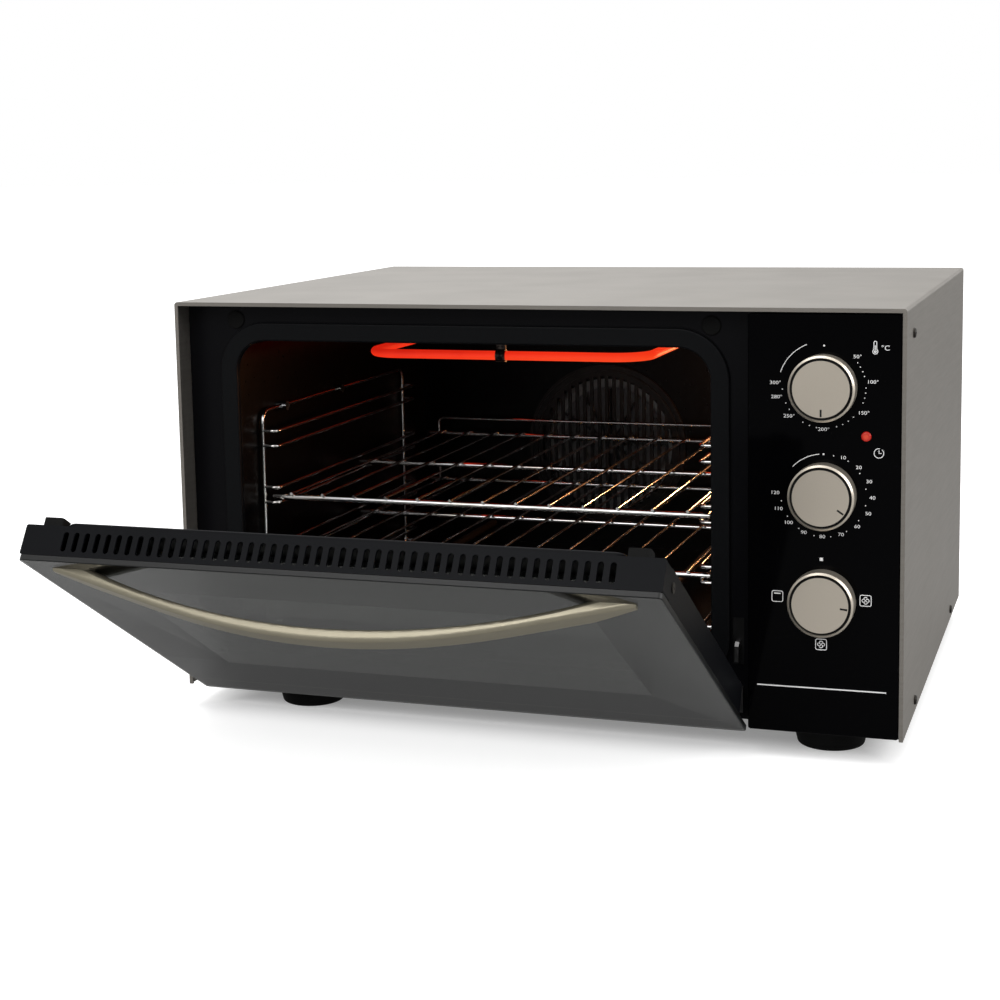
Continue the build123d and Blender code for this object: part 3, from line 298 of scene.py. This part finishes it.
def zinc_sheet():
    """Plain coated steel of the back, base and inner walls, with a faint spangle."""
    look = Look("zinc_sheet")
    spangle = look.specks(9 * MM)
    haze = look.noise(60 * MM)
    base = look.mix(look.between(spangle, 0.0, 0.9), linear(161, 161, 161), linear(169, 169, 167))
    return look.finish(base, 0.36 + haze * 0.2, Metallic=0.9)


def dark_screw():
    """Blackened steel of the casing's and the door's screws."""
    look = Look("dark_screw")
    worn = look.noise(1.2 * MM)
    base = look.mix(worn, linear(38, 36, 34), linear(70, 67, 63))
    return look.finish(base, 0.3 + worn * 0.2, Metallic=0.9)


def scaled_steel():
    """The elements' straps, blued and scaled by the heat."""
    look = Look("scaled_steel")
    scale = look.noise(2.5 * MM, detail=4.0)
    base = look.mix(look.between(scale, 0.35, 0.7), linear(34, 28, 30), linear(118, 108, 100))
    normal = look.bump(scale, depth=0.04 * MM, strength=0.4)
    return look.finish(base, 0.3 + scale * 0.25, Metallic=0.9, Normal=normal)


def black_rubber():
    """Dull rubber of the feet, the door's stops and the plugs, with a little dust."""
    look = Look("black_rubber")
    grain = look.noise(0.7 * MM, detail=4.0)
    dust = look.noise(30 * MM)
    base = look.mix(look.between(dust, 0.4, 0.8), linear(7, 7, 7), linear(14, 14, 13))
    normal = look.bump(grain, depth=0.06 * MM, strength=0.5)
    return look.finish(base, 0.62 + grain * 0.2, Specular_IOR_Level=0.15, Normal=normal)


def seal_rubber():
    """Smooth silicone of the door's seal, a little glossy."""
    look = Look("seal_rubber")
    grain = look.noise(1.5 * MM)
    base = look.mix(grain, linear(11, 12, 14), linear(17, 18, 20))
    normal = look.bump(grain, depth=0.04 * MM, strength=0.4)
    return look.finish(base, 0.36 + grain * 0.12, Specular_IOR_Level=0.1, Normal=normal)


def frame_enamel():
    """Smooth black enamel of the front frame, with a slight orange peel and a few flecks."""
    look = Look("frame_enamel")
    peel = look.noise(3.5 * MM, detail=2.0)
    fleck = look.between(look.specks(2.4 * MM), 0.02, 0.12, 1.0, 0.0)
    base = look.mix(fleck * 0.12, linear(11, 11, 14), linear(44, 44, 50))
    normal = look.bump(peel, depth=0.05 * MM, strength=0.3)
    return look.finish(base, 0.26 + peel * 0.1, Specular_IOR_Level=0.1, Normal=normal)


def cavity_enamel():
    """Oven enamel: near black, glossy, with fine pale flecks."""
    look = Look("cavity_enamel")
    peel = look.noise(4 * MM, detail=2.0)
    fleck = look.between(look.specks(1.9 * MM), 0.03, 0.16, 1.0, 0.0)
    base = look.mix(fleck * 0.1, linear(3, 3, 4), linear(56, 56, 60))
    normal = look.bump(peel, depth=0.06 * MM, strength=0.3)
    return look.finish(base, 0.24 + peel * 0.12, Specular_IOR_Level=0.11, Normal=normal)


def oiled_steel(look, oil):
    """Colour of bare steel under a film of oil."""
    return look.mix(oil, linear(88, 88, 90), linear(150, 149, 147))


def hinge_steel():
    """Bare steel of the hinges' pins and brackets, and of the shafts."""
    look = Look("hinge_steel")
    oil = look.noise(7 * MM, detail=4.0)
    return look.finish(oiled_steel(look, oil), 0.25 + oil * 0.25, Metallic=1.0)


def hook_steel():
    """Bright steel where it stands out of the front frame; painted shade where its plate lies behind the
    slot, near black and not metallic.
    """
    look = Look("hook_steel")
    oil = look.noise(7 * MM, detail=4.0)
    _, depth, _ = look.parts(look.place())
    frame_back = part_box("front_fascia")[1].y
    # painted shade: the plate behind the slot turns near black and loses its metal
    behind_slot_shade = look.between(depth, frame_back - 0.4 * MM, frame_back - 0.1 * MM)
    base = look.mix(behind_slot_shade, oiled_steel(look, oil), linear(6, 6, 7))
    return look.finish(base, 0.25 + oil * 0.25, Metallic=1.0 - behind_slot_shade)


def wire_chrome():
    """Bright plated wire with slight unevenness from the plating."""
    look = Look("wire_chrome")
    ripple = look.noise(5 * MM)
    stain = look.noise(45 * MM, detail=2.0)
    base = look.mix(look.between(stain, 0.35, 0.8), linear(226, 226, 228), linear(205, 200, 192))
    return look.finish(base, 0.1 + ripple * 0.1, Metallic=1.0)


def grille_steel():
    """Dark heat-stained steel of the fan's grille."""
    look = Look("grille_steel")
    haze = look.noise(20 * MM)
    base = look.mix(haze, linear(26, 26, 28), linear(44, 43, 42))
    return look.finish(base, 0.3 + haze * 0.15, Metallic=0.85)


def motor_steel():
    """Stacked plates of the motor, and the fan that it turns."""
    look = Look("motor_steel")
    plates = look.noise(1.4 * MM, detail=2.0, stretch=(0.02, 1.0, 0.02))
    base = look.mix(plates, linear(95, 95, 97), linear(140, 140, 140))
    return look.finish(base, 0.4 + plates * 0.15, Metallic=0.9)


def glowing_element(node):
    """Hot tube: deep red, hotter towards the right and the back, with painted shade that dims its glow on
    its top side.
    """
    look = Look(node + "_glow")
    low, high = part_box(node)
    x, y, _ = look.parts(look.place())
    by_right = look.between(x, low.x, high.x, 0.25, 0.75)
    by_back = look.between(y, low.y + 30 * MM, high.y, 0.0, 0.25)
    uneven = look.noise(26 * MM)
    _, _, facing_up = look.parts(look.normal())
    # painted shade: the glow is dimmer where the tube faces up, so the heat below mixes heat and painted
    # shade
    shade = look.between(facing_up, -0.7, 0.8, 0.0, 0.4)
    heat = (by_right + by_back + uneven * 0.3 - shade).at_most(1.0)
    deep_red = (0.60, 0.012, 0.004, 1)
    red = (0.88, 0.030, 0.008, 1)
    orange_red = (0.98, 0.064, 0.013, 1)
    stops = [(0.0, deep_red), (0.4, red), (1.0, orange_red)]
    colour = look.node("ValToRGB", {"stops": stops}, {"Fac": heat})
    scale = look.noise(2 * MM, detail=4.0)
    base = look.mix(scale, linear(70, 26, 20), linear(110, 40, 28))
    normal = look.bump(scale, depth=0.05 * MM, strength=0.4)
    glow = {"Emission_Color": colour, "Emission_Strength": ELEMENT_GLOW}
    return look.finish(base, 0.5 + scale * 0.2, Normal=normal, **glow)


def cold_element():
    """The tube that is off: dark scaled steel."""
    look = Look("cold_element")
    scale = look.noise(3 * MM, detail=4.0)
    base = look.mix(scale, linear(26, 24, 24), linear(58, 54, 52))
    normal = look.bump(scale, depth=0.05 * MM, strength=0.4)
    return look.finish(base, 0.45 + scale * 0.2, Metallic=0.7, Normal=normal)


def panel_gloss():
    """Deep black gloss of the control panel, with a few dust specks."""
    look = Look("panel_gloss")
    dust = look.between(look.specks(17 * MM), 0.004, 0.02, 1.0, 0.0)
    smear = look.noise(50 * MM)
    base = look.mix(dust * 0.2, linear(3, 3, 4), linear(50, 50, 50))
    return look.finish(base, 0.06 + smear * 0.05, Specular_IOR_Level=PANEL_GLOSS)


def black_plastic():
    """Moulded plastic of the panel's bezel, the switches and the cord's inlet."""
    look = Look("black_plastic")
    grain = look.noise(0.9 * MM)
    base = look.mix(grain, linear(15, 15, 16), linear(24, 24, 25))
    normal = look.bump(grain, depth=0.04 * MM, strength=0.5)
    return look.finish(base, 0.45 + grain * 0.15, Normal=normal)


def lamp_lens():
    """Lit red lens, brightest in its middle."""
    look = Look("lamp_lens")
    distance = ring_distance(look, middle("neon_lamp"))
    core = look.between(distance, 0.5 * MM, 3.4 * MM, 1.0, 0.0)
    edge_glow = (0.35, 0.008, 0.004, 1)
    core_glow = (1.0, 0.16, 0.07, 1)
    colour = look.mix(core, edge_glow, core_glow)
    frost = look.noise(0.8 * MM, detail=2.0)
    base = look.mix(frost, linear(150, 20, 14), linear(180, 34, 22))
    return look.finish(base, 0.12 + frost * 0.1, Emission_Color=colour, Emission_Strength=LAMP_GLOW)


def knob_metal(node):
    """Champagne coat with a finely turned face, and black in the groove and the pointer's notch."""
    look = Look(node + "_metal")
    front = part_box(node)[0].y
    distance = ring_distance(look, middle(node))
    _, depth, _ = look.parts(look.place())
    turned = look.node("TexNoise", {"noise_dimensions": "1D"}, {"W": distance * KNOB_LINES, "Scale": 1.0})
    flake = look.noise(0.45 * MM, detail=2.0)
    grain = turned * 0.5 + flake * 0.5
    sunk = look.between(depth - front, 0.04 * MM, 0.12 * MM)
    inside = look.between(distance, KNOB_FACE_R - 0.1 * MM, KNOB_FACE_R + 0.1 * MM, 1.0, 0.0)
    dark = sunk * inside
    metal = look.mix(grain, linear(213, 203, 187), linear(227, 217, 202))
    base = look.mix(dark, metal, linear(10, 9, 9))
    roughness = look.between(dark, 0.0, 1.0, 0.0, 0.35) + 0.3 + flake * 0.08
    normal = look.bump(grain, depth=0.015 * MM, strength=0.4)
    return look.finish(base, roughness, Metallic=0.8 - dark * 0.8, Normal=normal)


def smoked_glass(name, tint):
    """Clear pane with a grey tint, a breath of dust and dark cut edges."""
    look = Look(name)
    smear = look.noise(70 * MM)
    dusty = tuple(0.94 * channel for channel in tint[:3]) + (1.0,)
    pane = look.mix(look.between(smear, 0.3, 0.8), tint, dusty)
    sockets = {0: look.normal(), 1: PANE_NORMAL}
    facing = look.node("VectorMath", {"operation": "DOT_PRODUCT"}, sockets, out="Value")
    edge = look.between(abs(facing), 0.93, 0.98, 1.0, 0.0)
    base = look.mix(edge, pane, linear(12, 20, 19))
    roughness = 0.01 + smear * 0.03 + edge * 0.4
    return look.finish(base, roughness, IOR=1.5, Transmission_Weight=1.0)


def border_print():
    """Black print behind the outer glass, with a thin pale rule that runs above the hinge."""
    look = Look("border_print")
    grain = look.noise(0.6 * MM, detail=2.0)
    black = look.mix(grain, linear(7, 7, 7), linear(12, 12, 12))
    hinge = middle("hinge_pin_left")
    _, y, z = look.parts(look.place())
    up = (y - hinge.y) * -math.sin(DOOR_ANGLE) + (z - hinge.z) * math.cos(DOOR_ANGLE)
    rule = look.between(abs(up - RULE_UP), RULE_W / 2, RULE_W, 1.0, 0.0)
    base = look.mix(rule, black, linear(120, 122, 116))
    return look.finish(base, 0.5 + grain * 0.1)


def door_enamel():
    """Satin blue-black coat of the door's rails."""
    look = Look("door_enamel")
    grain = look.noise(1.1 * MM)
    base = look.mix(grain, linear(9, 10, 13), linear(14, 15, 18))
    normal = look.bump(grain, depth=0.03 * MM, strength=0.5)
    return look.finish(base, 0.36 + grain * 0.12, Specular_IOR_Level=0.09, Normal=normal)


def handle_champagne():
    """Satin champagne bar with lines drawn along its length."""
    look = Look("handle_champagne")
    drawn = look.noise(1.0 * MM, stretch=(0.03, 1.0, 1.0))
    cloud = look.noise(60 * MM, detail=2.0)
    base = look.mix(drawn, linear(158, 151, 131), linear(174, 167, 148))
    roughness = 0.3 + drawn * 0.12 + cloud * 0.05
    normal = look.bump(drawn, depth=0.02 * MM, strength=0.35)
    return look.finish(base, roughness, Metallic=0.85, Normal=normal)


def dial_print():
    """White screen print."""
    look = Look("dial_print")
    ink = look.noise(0.4 * MM, detail=2.0)
    base = look.mix(ink, linear(236, 236, 236), linear(250, 250, 250))
    return look.finish(base, 0.5 + ink * 0.1)


def paint_nodes():
    """Gives every node of the frame its finish."""
    controls = ("selector", "timer", "thermostat")
    finishes = [
        (casing_paint(), ["casing_wrap"]),
        (dark_screw(), ["side_screws", "door_screws"]),
        (zinc_sheet(), ["base_pan", "back_panel", "motor_cover", "divider_wall", "fan_housing"]),
        (black_plastic(), ["power_inlet", "control_bezel"] + [name + "_body" for name in controls]),
        (black_rubber(), both("foot_front") + both("foot_rear") + both("door_stop") + ["fascia_plugs"]),
        (seal_rubber(), ["door_gasket"]),
        (frame_enamel(), ["front_fascia"]),
        (cavity_enamel(), ["cavity_liner"]),
        (hook_steel(), both("hinge_hook")),
        (hinge_steel(), both("hinge_bracket") + both("hinge_pin") + ["motor_shaft"]),
        (hinge_steel(), [name + "_shaft" for name in controls]),
        (wire_chrome(), both("side_rack") + ["upper_shelf", "lower_shelf", "rack_studs"]),
        (scaled_steel(), ["upper_element_clip", "lower_element_clip"]),
        (glowing_element("upper_element"), ["upper_element"]),
        (cold_element(), ["lower_element"]),
        (grille_steel(), ["fan_grille"]),
        (motor_steel(), ["fan_motor", "fan_impeller"]),
        (panel_gloss(), ["control_panel"]),
        (lamp_lens(), ["neon_lamp"]),
        (smoked_glass("outer_glass", linear(176, 178, 175)), ["door_glass"]),
        (smoked_glass("inner_glass", linear(206, 208, 205)), ["door_inner_glass"]),
        (border_print(), ["door_border"]),
        (door_enamel(), both("door_side") + ["door_top_rail", "door_bottom_rail", "door_inner_frame"]),
        (handle_champagne(), ["door_handle"]),
    ]
    finishes += [(knob_metal(name + "_knob"), [name + "_knob"]) for name in controls]
    bare = set(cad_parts)
    for material, nodes in finishes:
        for node in nodes:
            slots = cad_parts[node].data.materials
            slots.clear()
            slots.append(material)
            bare.discard(node)
    if bare:
        raise RuntimeError(f"no finish for {sorted(bare)}")


# print on the control panel

class Print:
    """Flat ink shapes on the control panel, gathered into one mesh. Places are (x, z) in metres."""

    def __init__(self):
        self.mesh = bmesh.new()
        self.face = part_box("control_panel")[0].y

    def prism(self, outline):
        """A thin solid under a closed outline."""
        rings = [
            [self.mesh.verts.new((x, y, z)) for x, z in outline]
            for y in (self.face - PRINT_DEPTH, self.face)
        ]
        self.mesh.faces.new(rings[0])
        self.mesh.faces.new(reversed(rings[1]))
        for i in range(len(outline)):
            j = (i + 1) % len(outline)
            self.mesh.faces.new((rings[0][j], rings[0][i], rings[1][i], rings[1][j]))

    def stroke(self, points, width=INK_LINE, closed=False):
        """A line of even width through points."""
        count = len(points)
        sides = ([], [])
        for i, point in enumerate(points):
            before = points[i - 1] if i or closed else point
            after = points[(i + 1) % count] if i < count - 1 or closed else point
            run = Vector(after) - Vector(before)
            across = Vector((-run.y, run.x)).normalized() * width / 2
            sides[0].append(tuple(Vector(point) + across))
            sides[1].append(tuple(Vector(point) - across))
        last = count if closed else count - 1
        for i in range(last):
            j = (i + 1) % count
            self.prism([sides[0][i], sides[0][j], sides[1][j], sides[1][i]])

    def arc(self, centre, radius, start, end, steps=28):
        """Part of a ring; angles in degrees run clockwise from straight up."""
        turns = [math.radians(start + (end - start) * i / steps) for i in range(steps + 1)]
        self.stroke([(centre[0] + radius * math.sin(t), centre[1] + radius * math.cos(t)) for t in turns])

    def dot(self, place, radius, corners=12):
        turns = [2 * math.pi * (i + 0.5) / corners for i in range(corners)]
        self.prism([(place[0] + radius * math.cos(t), place[1] + radius * math.sin(t)) for t in turns])

    def words(self, text, place, height, widen=1.25):
        """Characters centred on a place, with capitals of this height."""
        curve = bpy.data.curves.new("ink", "FONT")
        curve.body = text
        curve.align_x = "CENTER"
        curve.size = height / CAPITAL_SHARE
        curve.extrude = PRINT_DEPTH / 2
        curve.resolution_u = 3
        carrier = bpy.data.objects.new("ink", curve)
        flat = bpy.data.meshes.new_from_object(carrier)
        stand = Matrix.Rotation(math.radians(90), 4, "X")
        move = Matrix.Translation((place[0], self.face - PRINT_DEPTH / 2, place[1] - height / 2))
        flat.transform(move @ stand @ Matrix.Diagonal((widen, 1, 1, 1)))
        self.mesh.from_mesh(flat)
        bpy.data.objects.remove(carrier)
        bpy.data.curves.remove(curve)

    def rounded_square(self, centre, half):
        corner = 0.3 * half
        inset = half - corner
        points = []
        for sx, sz, start in ((1, 1, 0), (1, -1, 90), (-1, -1, 180), (-1, 1, 270)):
            for turn in (math.radians(start + lean) for lean in (0, 30, 60, 90)):
                x = centre[0] + sx * inset + corner * math.sin(turn)
                z = centre[1] + sz * inset + corner * math.cos(turn)
                points.append((x, z))
        self.stroke(points, closed=True)

    def fan_sign(self, centre):
        """Four curved blades round a hub, in a rounded square."""
        half = FUNCTION_SIGN_HALF
        blade_out = 0.34 * half
        blade_radius = 0.3 * half
        self.rounded_square(centre, half)
        for lean in (0, 90, 180, 270):
            turn = math.radians(lean)
            blade = (centre[0] + blade_out * math.sin(turn), centre[1] + blade_out * math.cos(turn))
            self.arc(blade, blade_radius, lean - 150, lean + 70, steps=9)
        self.dot(centre, 0.12 * half, corners=8)

    def done(self, name, material):
        """Makes the print a piece of the oven's body."""
        bmesh.ops.recalc_face_normals(self.mesh, faces=self.mesh.faces)
        data = bpy.data.meshes.new(name)
        self.mesh.to_mesh(data)
        self.mesh.free()
        data.materials.append(material)
        piece = bpy.data.objects.new(name, data)
        bpy.context.scene.collection.objects.link(piece)
        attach(piece, "oven_body")


def around(knob, clockwise, across, up):
    """A place round a knob: an angle clockwise from the top on an oval of these half sizes."""
    turn = math.radians(clockwise)
    centre = middle(knob)
    return centre.x + across * math.sin(turn), centre.z + up * math.cos(turn)


def beside(knob, right, up):
    """A place this far to the right of a knob's middle and above it, in millimetres."""
    centre = middle(knob)
    return centre.x + right * MM, centre.z + up * MM


def print_thermostat(material):
    """Degrees, dots, an arc and a thermometer round the top knob."""
    ink = Print()
    knob = "thermostat_knob"
    marks = {50: 42.7, 100: 81.5, 150: 125.9, 200: 180.0, 250: 225.3, 280: 255.5, 300: 274.9}
    dots = (53, 60, 67, 74, 90, 97, 104, 111, 135, 144, 153, 162, 190, 200, 210, 236, 246, 266)
    for degrees, angle in marks.items():
        ink.words(f"{degrees}°", around(knob, angle, *NUMBER_OVAL), NUMBER_H)
    for angle in dots:
        ink.dot(around(knob, angle, DOT_RING, DOT_RING), DOT_R)
    ink.dot(around(knob, 0, DOT_RING, DOT_RING), TOP_MARK_R, SQUARE)
    ink.arc(beside(knob, 0, 0), 33 * MM, 288, 338)
    thermometer(ink, beside(knob, 36.3, 29.3))
    ink.words("°C", beside(knob, 43.5, 29.0), SIGN_H, widen=1.1)
    ink.done("thermostat_print", material)


def thermometer(ink, place):
    """Outline of a bulb thermometer with a filled bulb."""
    x, z = place
    half = 1.0 * MM
    top = z + 3.4 * MM
    neck = z - 1.6 * MM
    column_top = z + 1.4 * MM
    bulb = (x, z - 3.0 * MM)
    ink.stroke([(x - half, neck), (x - half, top)])
    ink.stroke([(x + half, neck), (x + half, top)])
    ink.arc((x, top), half, -90, 90, steps=8)
    ink.arc(bulb, 1.8 * MM, 34, 326, steps=16)
    ink.dot(bulb, 1.0 * MM)
    ink.stroke([bulb, (x, column_top)])


def print_timer(material):
    """Minutes from 10 to 120, dots, an arc and a clock round the middle knob."""
    ink = Print()
    knob = "timer_knob"
    first = 23.5
    step = 22.5
    to_dot = 11.2
    dot_ring = DOT_RING + 1 * MM
    for tens in range(1, 13):
        angle = first + step * (tens - 1)
        ink.words(str(10 * tens), around(knob, angle, *NUMBER_OVAL), NUMBER_H)
        if tens < 12:
            ink.dot(around(knob, angle + to_dot, dot_ring, dot_ring), DOT_R)
    ink.dot(around(knob, 0, DOT_RING, DOT_RING), TOP_MARK_R, SQUARE)
    ink.dot(around(knob, 14, DOT_RING, DOT_RING), DOT_R)
    ink.arc(beside(knob, 0, 0), DOT_RING, 312, 354)
    clock = beside(knob, 39.5, 31.9)
    ink.arc(clock, 3.4 * MM, 40, 372)
    ink.stroke([(clock[0], clock[1] + 2.2 * MM), clock, (clock[0] + 1.8 * MM, clock[1])])
    ink.done("timer_print", material)


def print_selector(material):
    """Signs for the grill and the fan round the bottom knob, and the rule under it."""
    ink = Print()
    knob = "selector_knob"
    ink.dot(beside(knob, -1.2, 31.2), 1.7 * MM, SQUARE)
    grill = beside(knob, -33.3, 1.9)
    bar_half = 2.4 * MM
    bar_z = grill[1] + 2.2 * MM
    ink.rounded_square(grill, FUNCTION_SIGN_HALF)
    ink.stroke([(grill[0] - bar_half, bar_z), (grill[0] + bar_half, bar_z)], 0.8 * MM)
    ink.fan_sign(beside(knob, 30.9, 2.3))
    ink.fan_sign(beside(knob, -1.1, -32.4))
    low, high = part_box("control_panel")
    rule_z = low.z + 34.6 * MM
    ink.stroke([(low.x + 7 * MM, rule_z), (high.x - 9 * MM, rule_z + 0.5 * MM)], 0.9 * MM)
    ink.done("selector_print", material)


# studio

def floor_look():
    """Pale floor that reads as the white background but keeps the object's shadow; its glow is also lower
    under the casing, a painted shadow.
    """
    look = Look("floor_look")
    shadowed = look.node("BsdfDiffuse", {}, {"Color": grey(FLOOR_PAINT)})
    x, y, _ = look.parts(look.place())
    low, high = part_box("casing_wrap")
    centre = (low + high) / 2
    outside = (abs(x - centre.x) - (high.x - centre.x)).at_least(abs(y - centre.y) - (high.y - centre.y))
    # painted shadow: the floor's glow drops under the casing's footprint
    near = look.between(outside, FLOOR_LIFT_FROM, FLOOR_LIFT_TO, FLOOR_LIFT_PAINTED_SHADOW, FLOOR_LIFT)
    lift = near.at_least(look.between(outside, FLOOR_WHITE_FROM, FLOOR_WHITE_TO))
    glow = look.emission(look.node("CombineColor", {}, {"Red": lift, "Green": lift, "Blue": lift}))
    none = look.emission(grey(0.0), 0.0)
    shown = look.blend(look.ray_is("Camera", "Transmission"), none, glow)
    lit = look.node("AddShader", {}, {0: shadowed, 1: shown})
    even = look.emission(grey(1.0), FLOOR_MIRRORED)
    surface = look.blend(look.ray_is("Glossy") * FLOOR_EVENED, lit, even)
    look.node("OutputMaterial", {}, {"Surface": surface})
    return look.owner


def make_floor():
    """A sheet that runs flat under the object and far out on all sides."""
    mesh = bmesh.new()
    bmesh.ops.create_grid(mesh, x_segments=8, y_segments=8, size=FLOOR_HALF)
    data = bpy.data.meshes.new("studio_floor")
    mesh.to_mesh(data)
    mesh.free()
    data.materials.append(floor_look())
    floor = bpy.data.objects.new("studio_floor", data)
    floor.location.z = cad_box[0].z
    bpy.context.scene.collection.objects.link(floor)


def make_world():
    """White for the camera. Mirrored rays find white behind and above, and grey in front."""
    world = bpy.data.worlds.new("studio")
    bpy.context.scene.world = world
    look = Look("studio", world)
    x, y, z = look.parts(look.node("TexCoord", out="Generated"))
    across = look.between(x, *BEHIND_BY_X_LEFT).at_least(look.between(x, *BEHIND_BY_X_RIGHT))
    behind = look.between(y, *BEHIND_BY_Y) * across
    above = look.between(z, *ABOVE_BY_Z) * look.between(x, *ABOVE_BY_X)
    sides = look.between(abs(x), *SIDES_BY_X)
    mirrored = look.mix(behind.at_least(above).at_least(sides), grey(ROOM_FRONT), grey(1.0))
    seen = look.mix(look.ray_is("Camera"), mirrored, grey(1.0))
    seen_light = look.node("Background", {}, {"Color": seen, "Strength": 1.0})
    fill = look.node("Background", {}, {"Color": grey(1.0), "Strength": ROOM_FILL})
    surface = look.blend(look.ray_is("Camera", "Glossy", "Transmission"), fill, seen_light)
    look.node("OutputWorld", {}, {"Surface": surface})


def softbox(name, place, target, size, power):
    """A wide lamp of this size in metres, aimed at a point."""
    light = bpy.data.lights.new(name, "AREA")
    light.shape = "RECTANGLE"
    light.size, light.size_y = size
    light.energy = power
    holder = bpy.data.objects.new(name, light)
    holder.location = place
    aim = Vector(target) - Vector(place)
    holder.rotation_mode = "QUATERNION"
    holder.rotation_quaternion = aim.to_track_quat("-Z", "Y")
    bpy.context.scene.collection.objects.link(holder)


def make_cavity_lamp():
    """Warm lamp high in the cavity's right rear corner."""
    from_right = 30 * MM
    from_back = 70 * MM
    from_ceiling = 60 * MM
    _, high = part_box("cavity_liner")
    light = bpy.data.lights.new("cavity_lamp", "POINT")
    light.energy = 0.9
    light.color = (1.0, 0.42, 0.16)
    light.shadow_soft_size = 12 * MM
    holder = bpy.data.objects.new("cavity_lamp", light)
    holder.location = (high.x - from_right, high.y - from_back, high.z - from_ceiling)
    holder.visible_camera = False
    bpy.context.scene.collection.objects.link(holder)


def make_lights():
    softbox("top_softbox", place=(-0.2, 0.3, 2.2), target=(0, 0, 0), size=(2.4, 1.8), power=26)
    softbox("front_softbox", place=(-0.4, -2.2, 1.5), target=(0, 0, 0.15), size=(1.4, 1.0), power=14)
    softbox("side_softbox", place=(1.9, -0.5, 1.1), target=(0.2, 0, 0.15), size=(1.0, 1.4), power=16)
    make_cavity_lamp()


def make_camera():
    """Stands where the photograph was taken from, a little to the right and above."""
    forward = Vector((
        math.sin(CAMERA_YAW) * math.cos(CAMERA_PITCH),
        math.cos(CAMERA_YAW) * math.cos(CAMERA_PITCH),
        math.sin(CAMERA_PITCH),
    ))
    right = Vector((math.cos(CAMERA_YAW), -math.sin(CAMERA_YAW), 0))
    up = right.cross(forward)
    across = math.cos(CAMERA_ROLL) * right + math.sin(CAMERA_ROLL) * up
    rise = math.cos(CAMERA_ROLL) * up - math.sin(CAMERA_ROLL) * right
    turn = Matrix((across, rise, -forward)).transposed()
    camera = bpy.data.objects.new("camera", bpy.data.cameras.new("camera"))
    camera.data.sensor_width = SENSOR_MM
    camera.data.lens = FOCAL_PX / FRAME_PX * SENSOR_MM
    camera.data.shift_y = CAMERA_SHIFT_UP
    camera.matrix_world = Matrix.Translation(CAMERA_PLACE) @ turn.to_4x4()
    bpy.context.scene.collection.objects.link(camera)
    bpy.context.scene.camera = camera


bpy.context.scene.view_settings.view_transform = "Standard"
make_camera()
make_world()
make_floor()
make_lights()
paint_nodes()
panel_ink = dial_print()
print_thermostat(panel_ink)
print_timer(panel_ink)
print_selector(panel_ink)
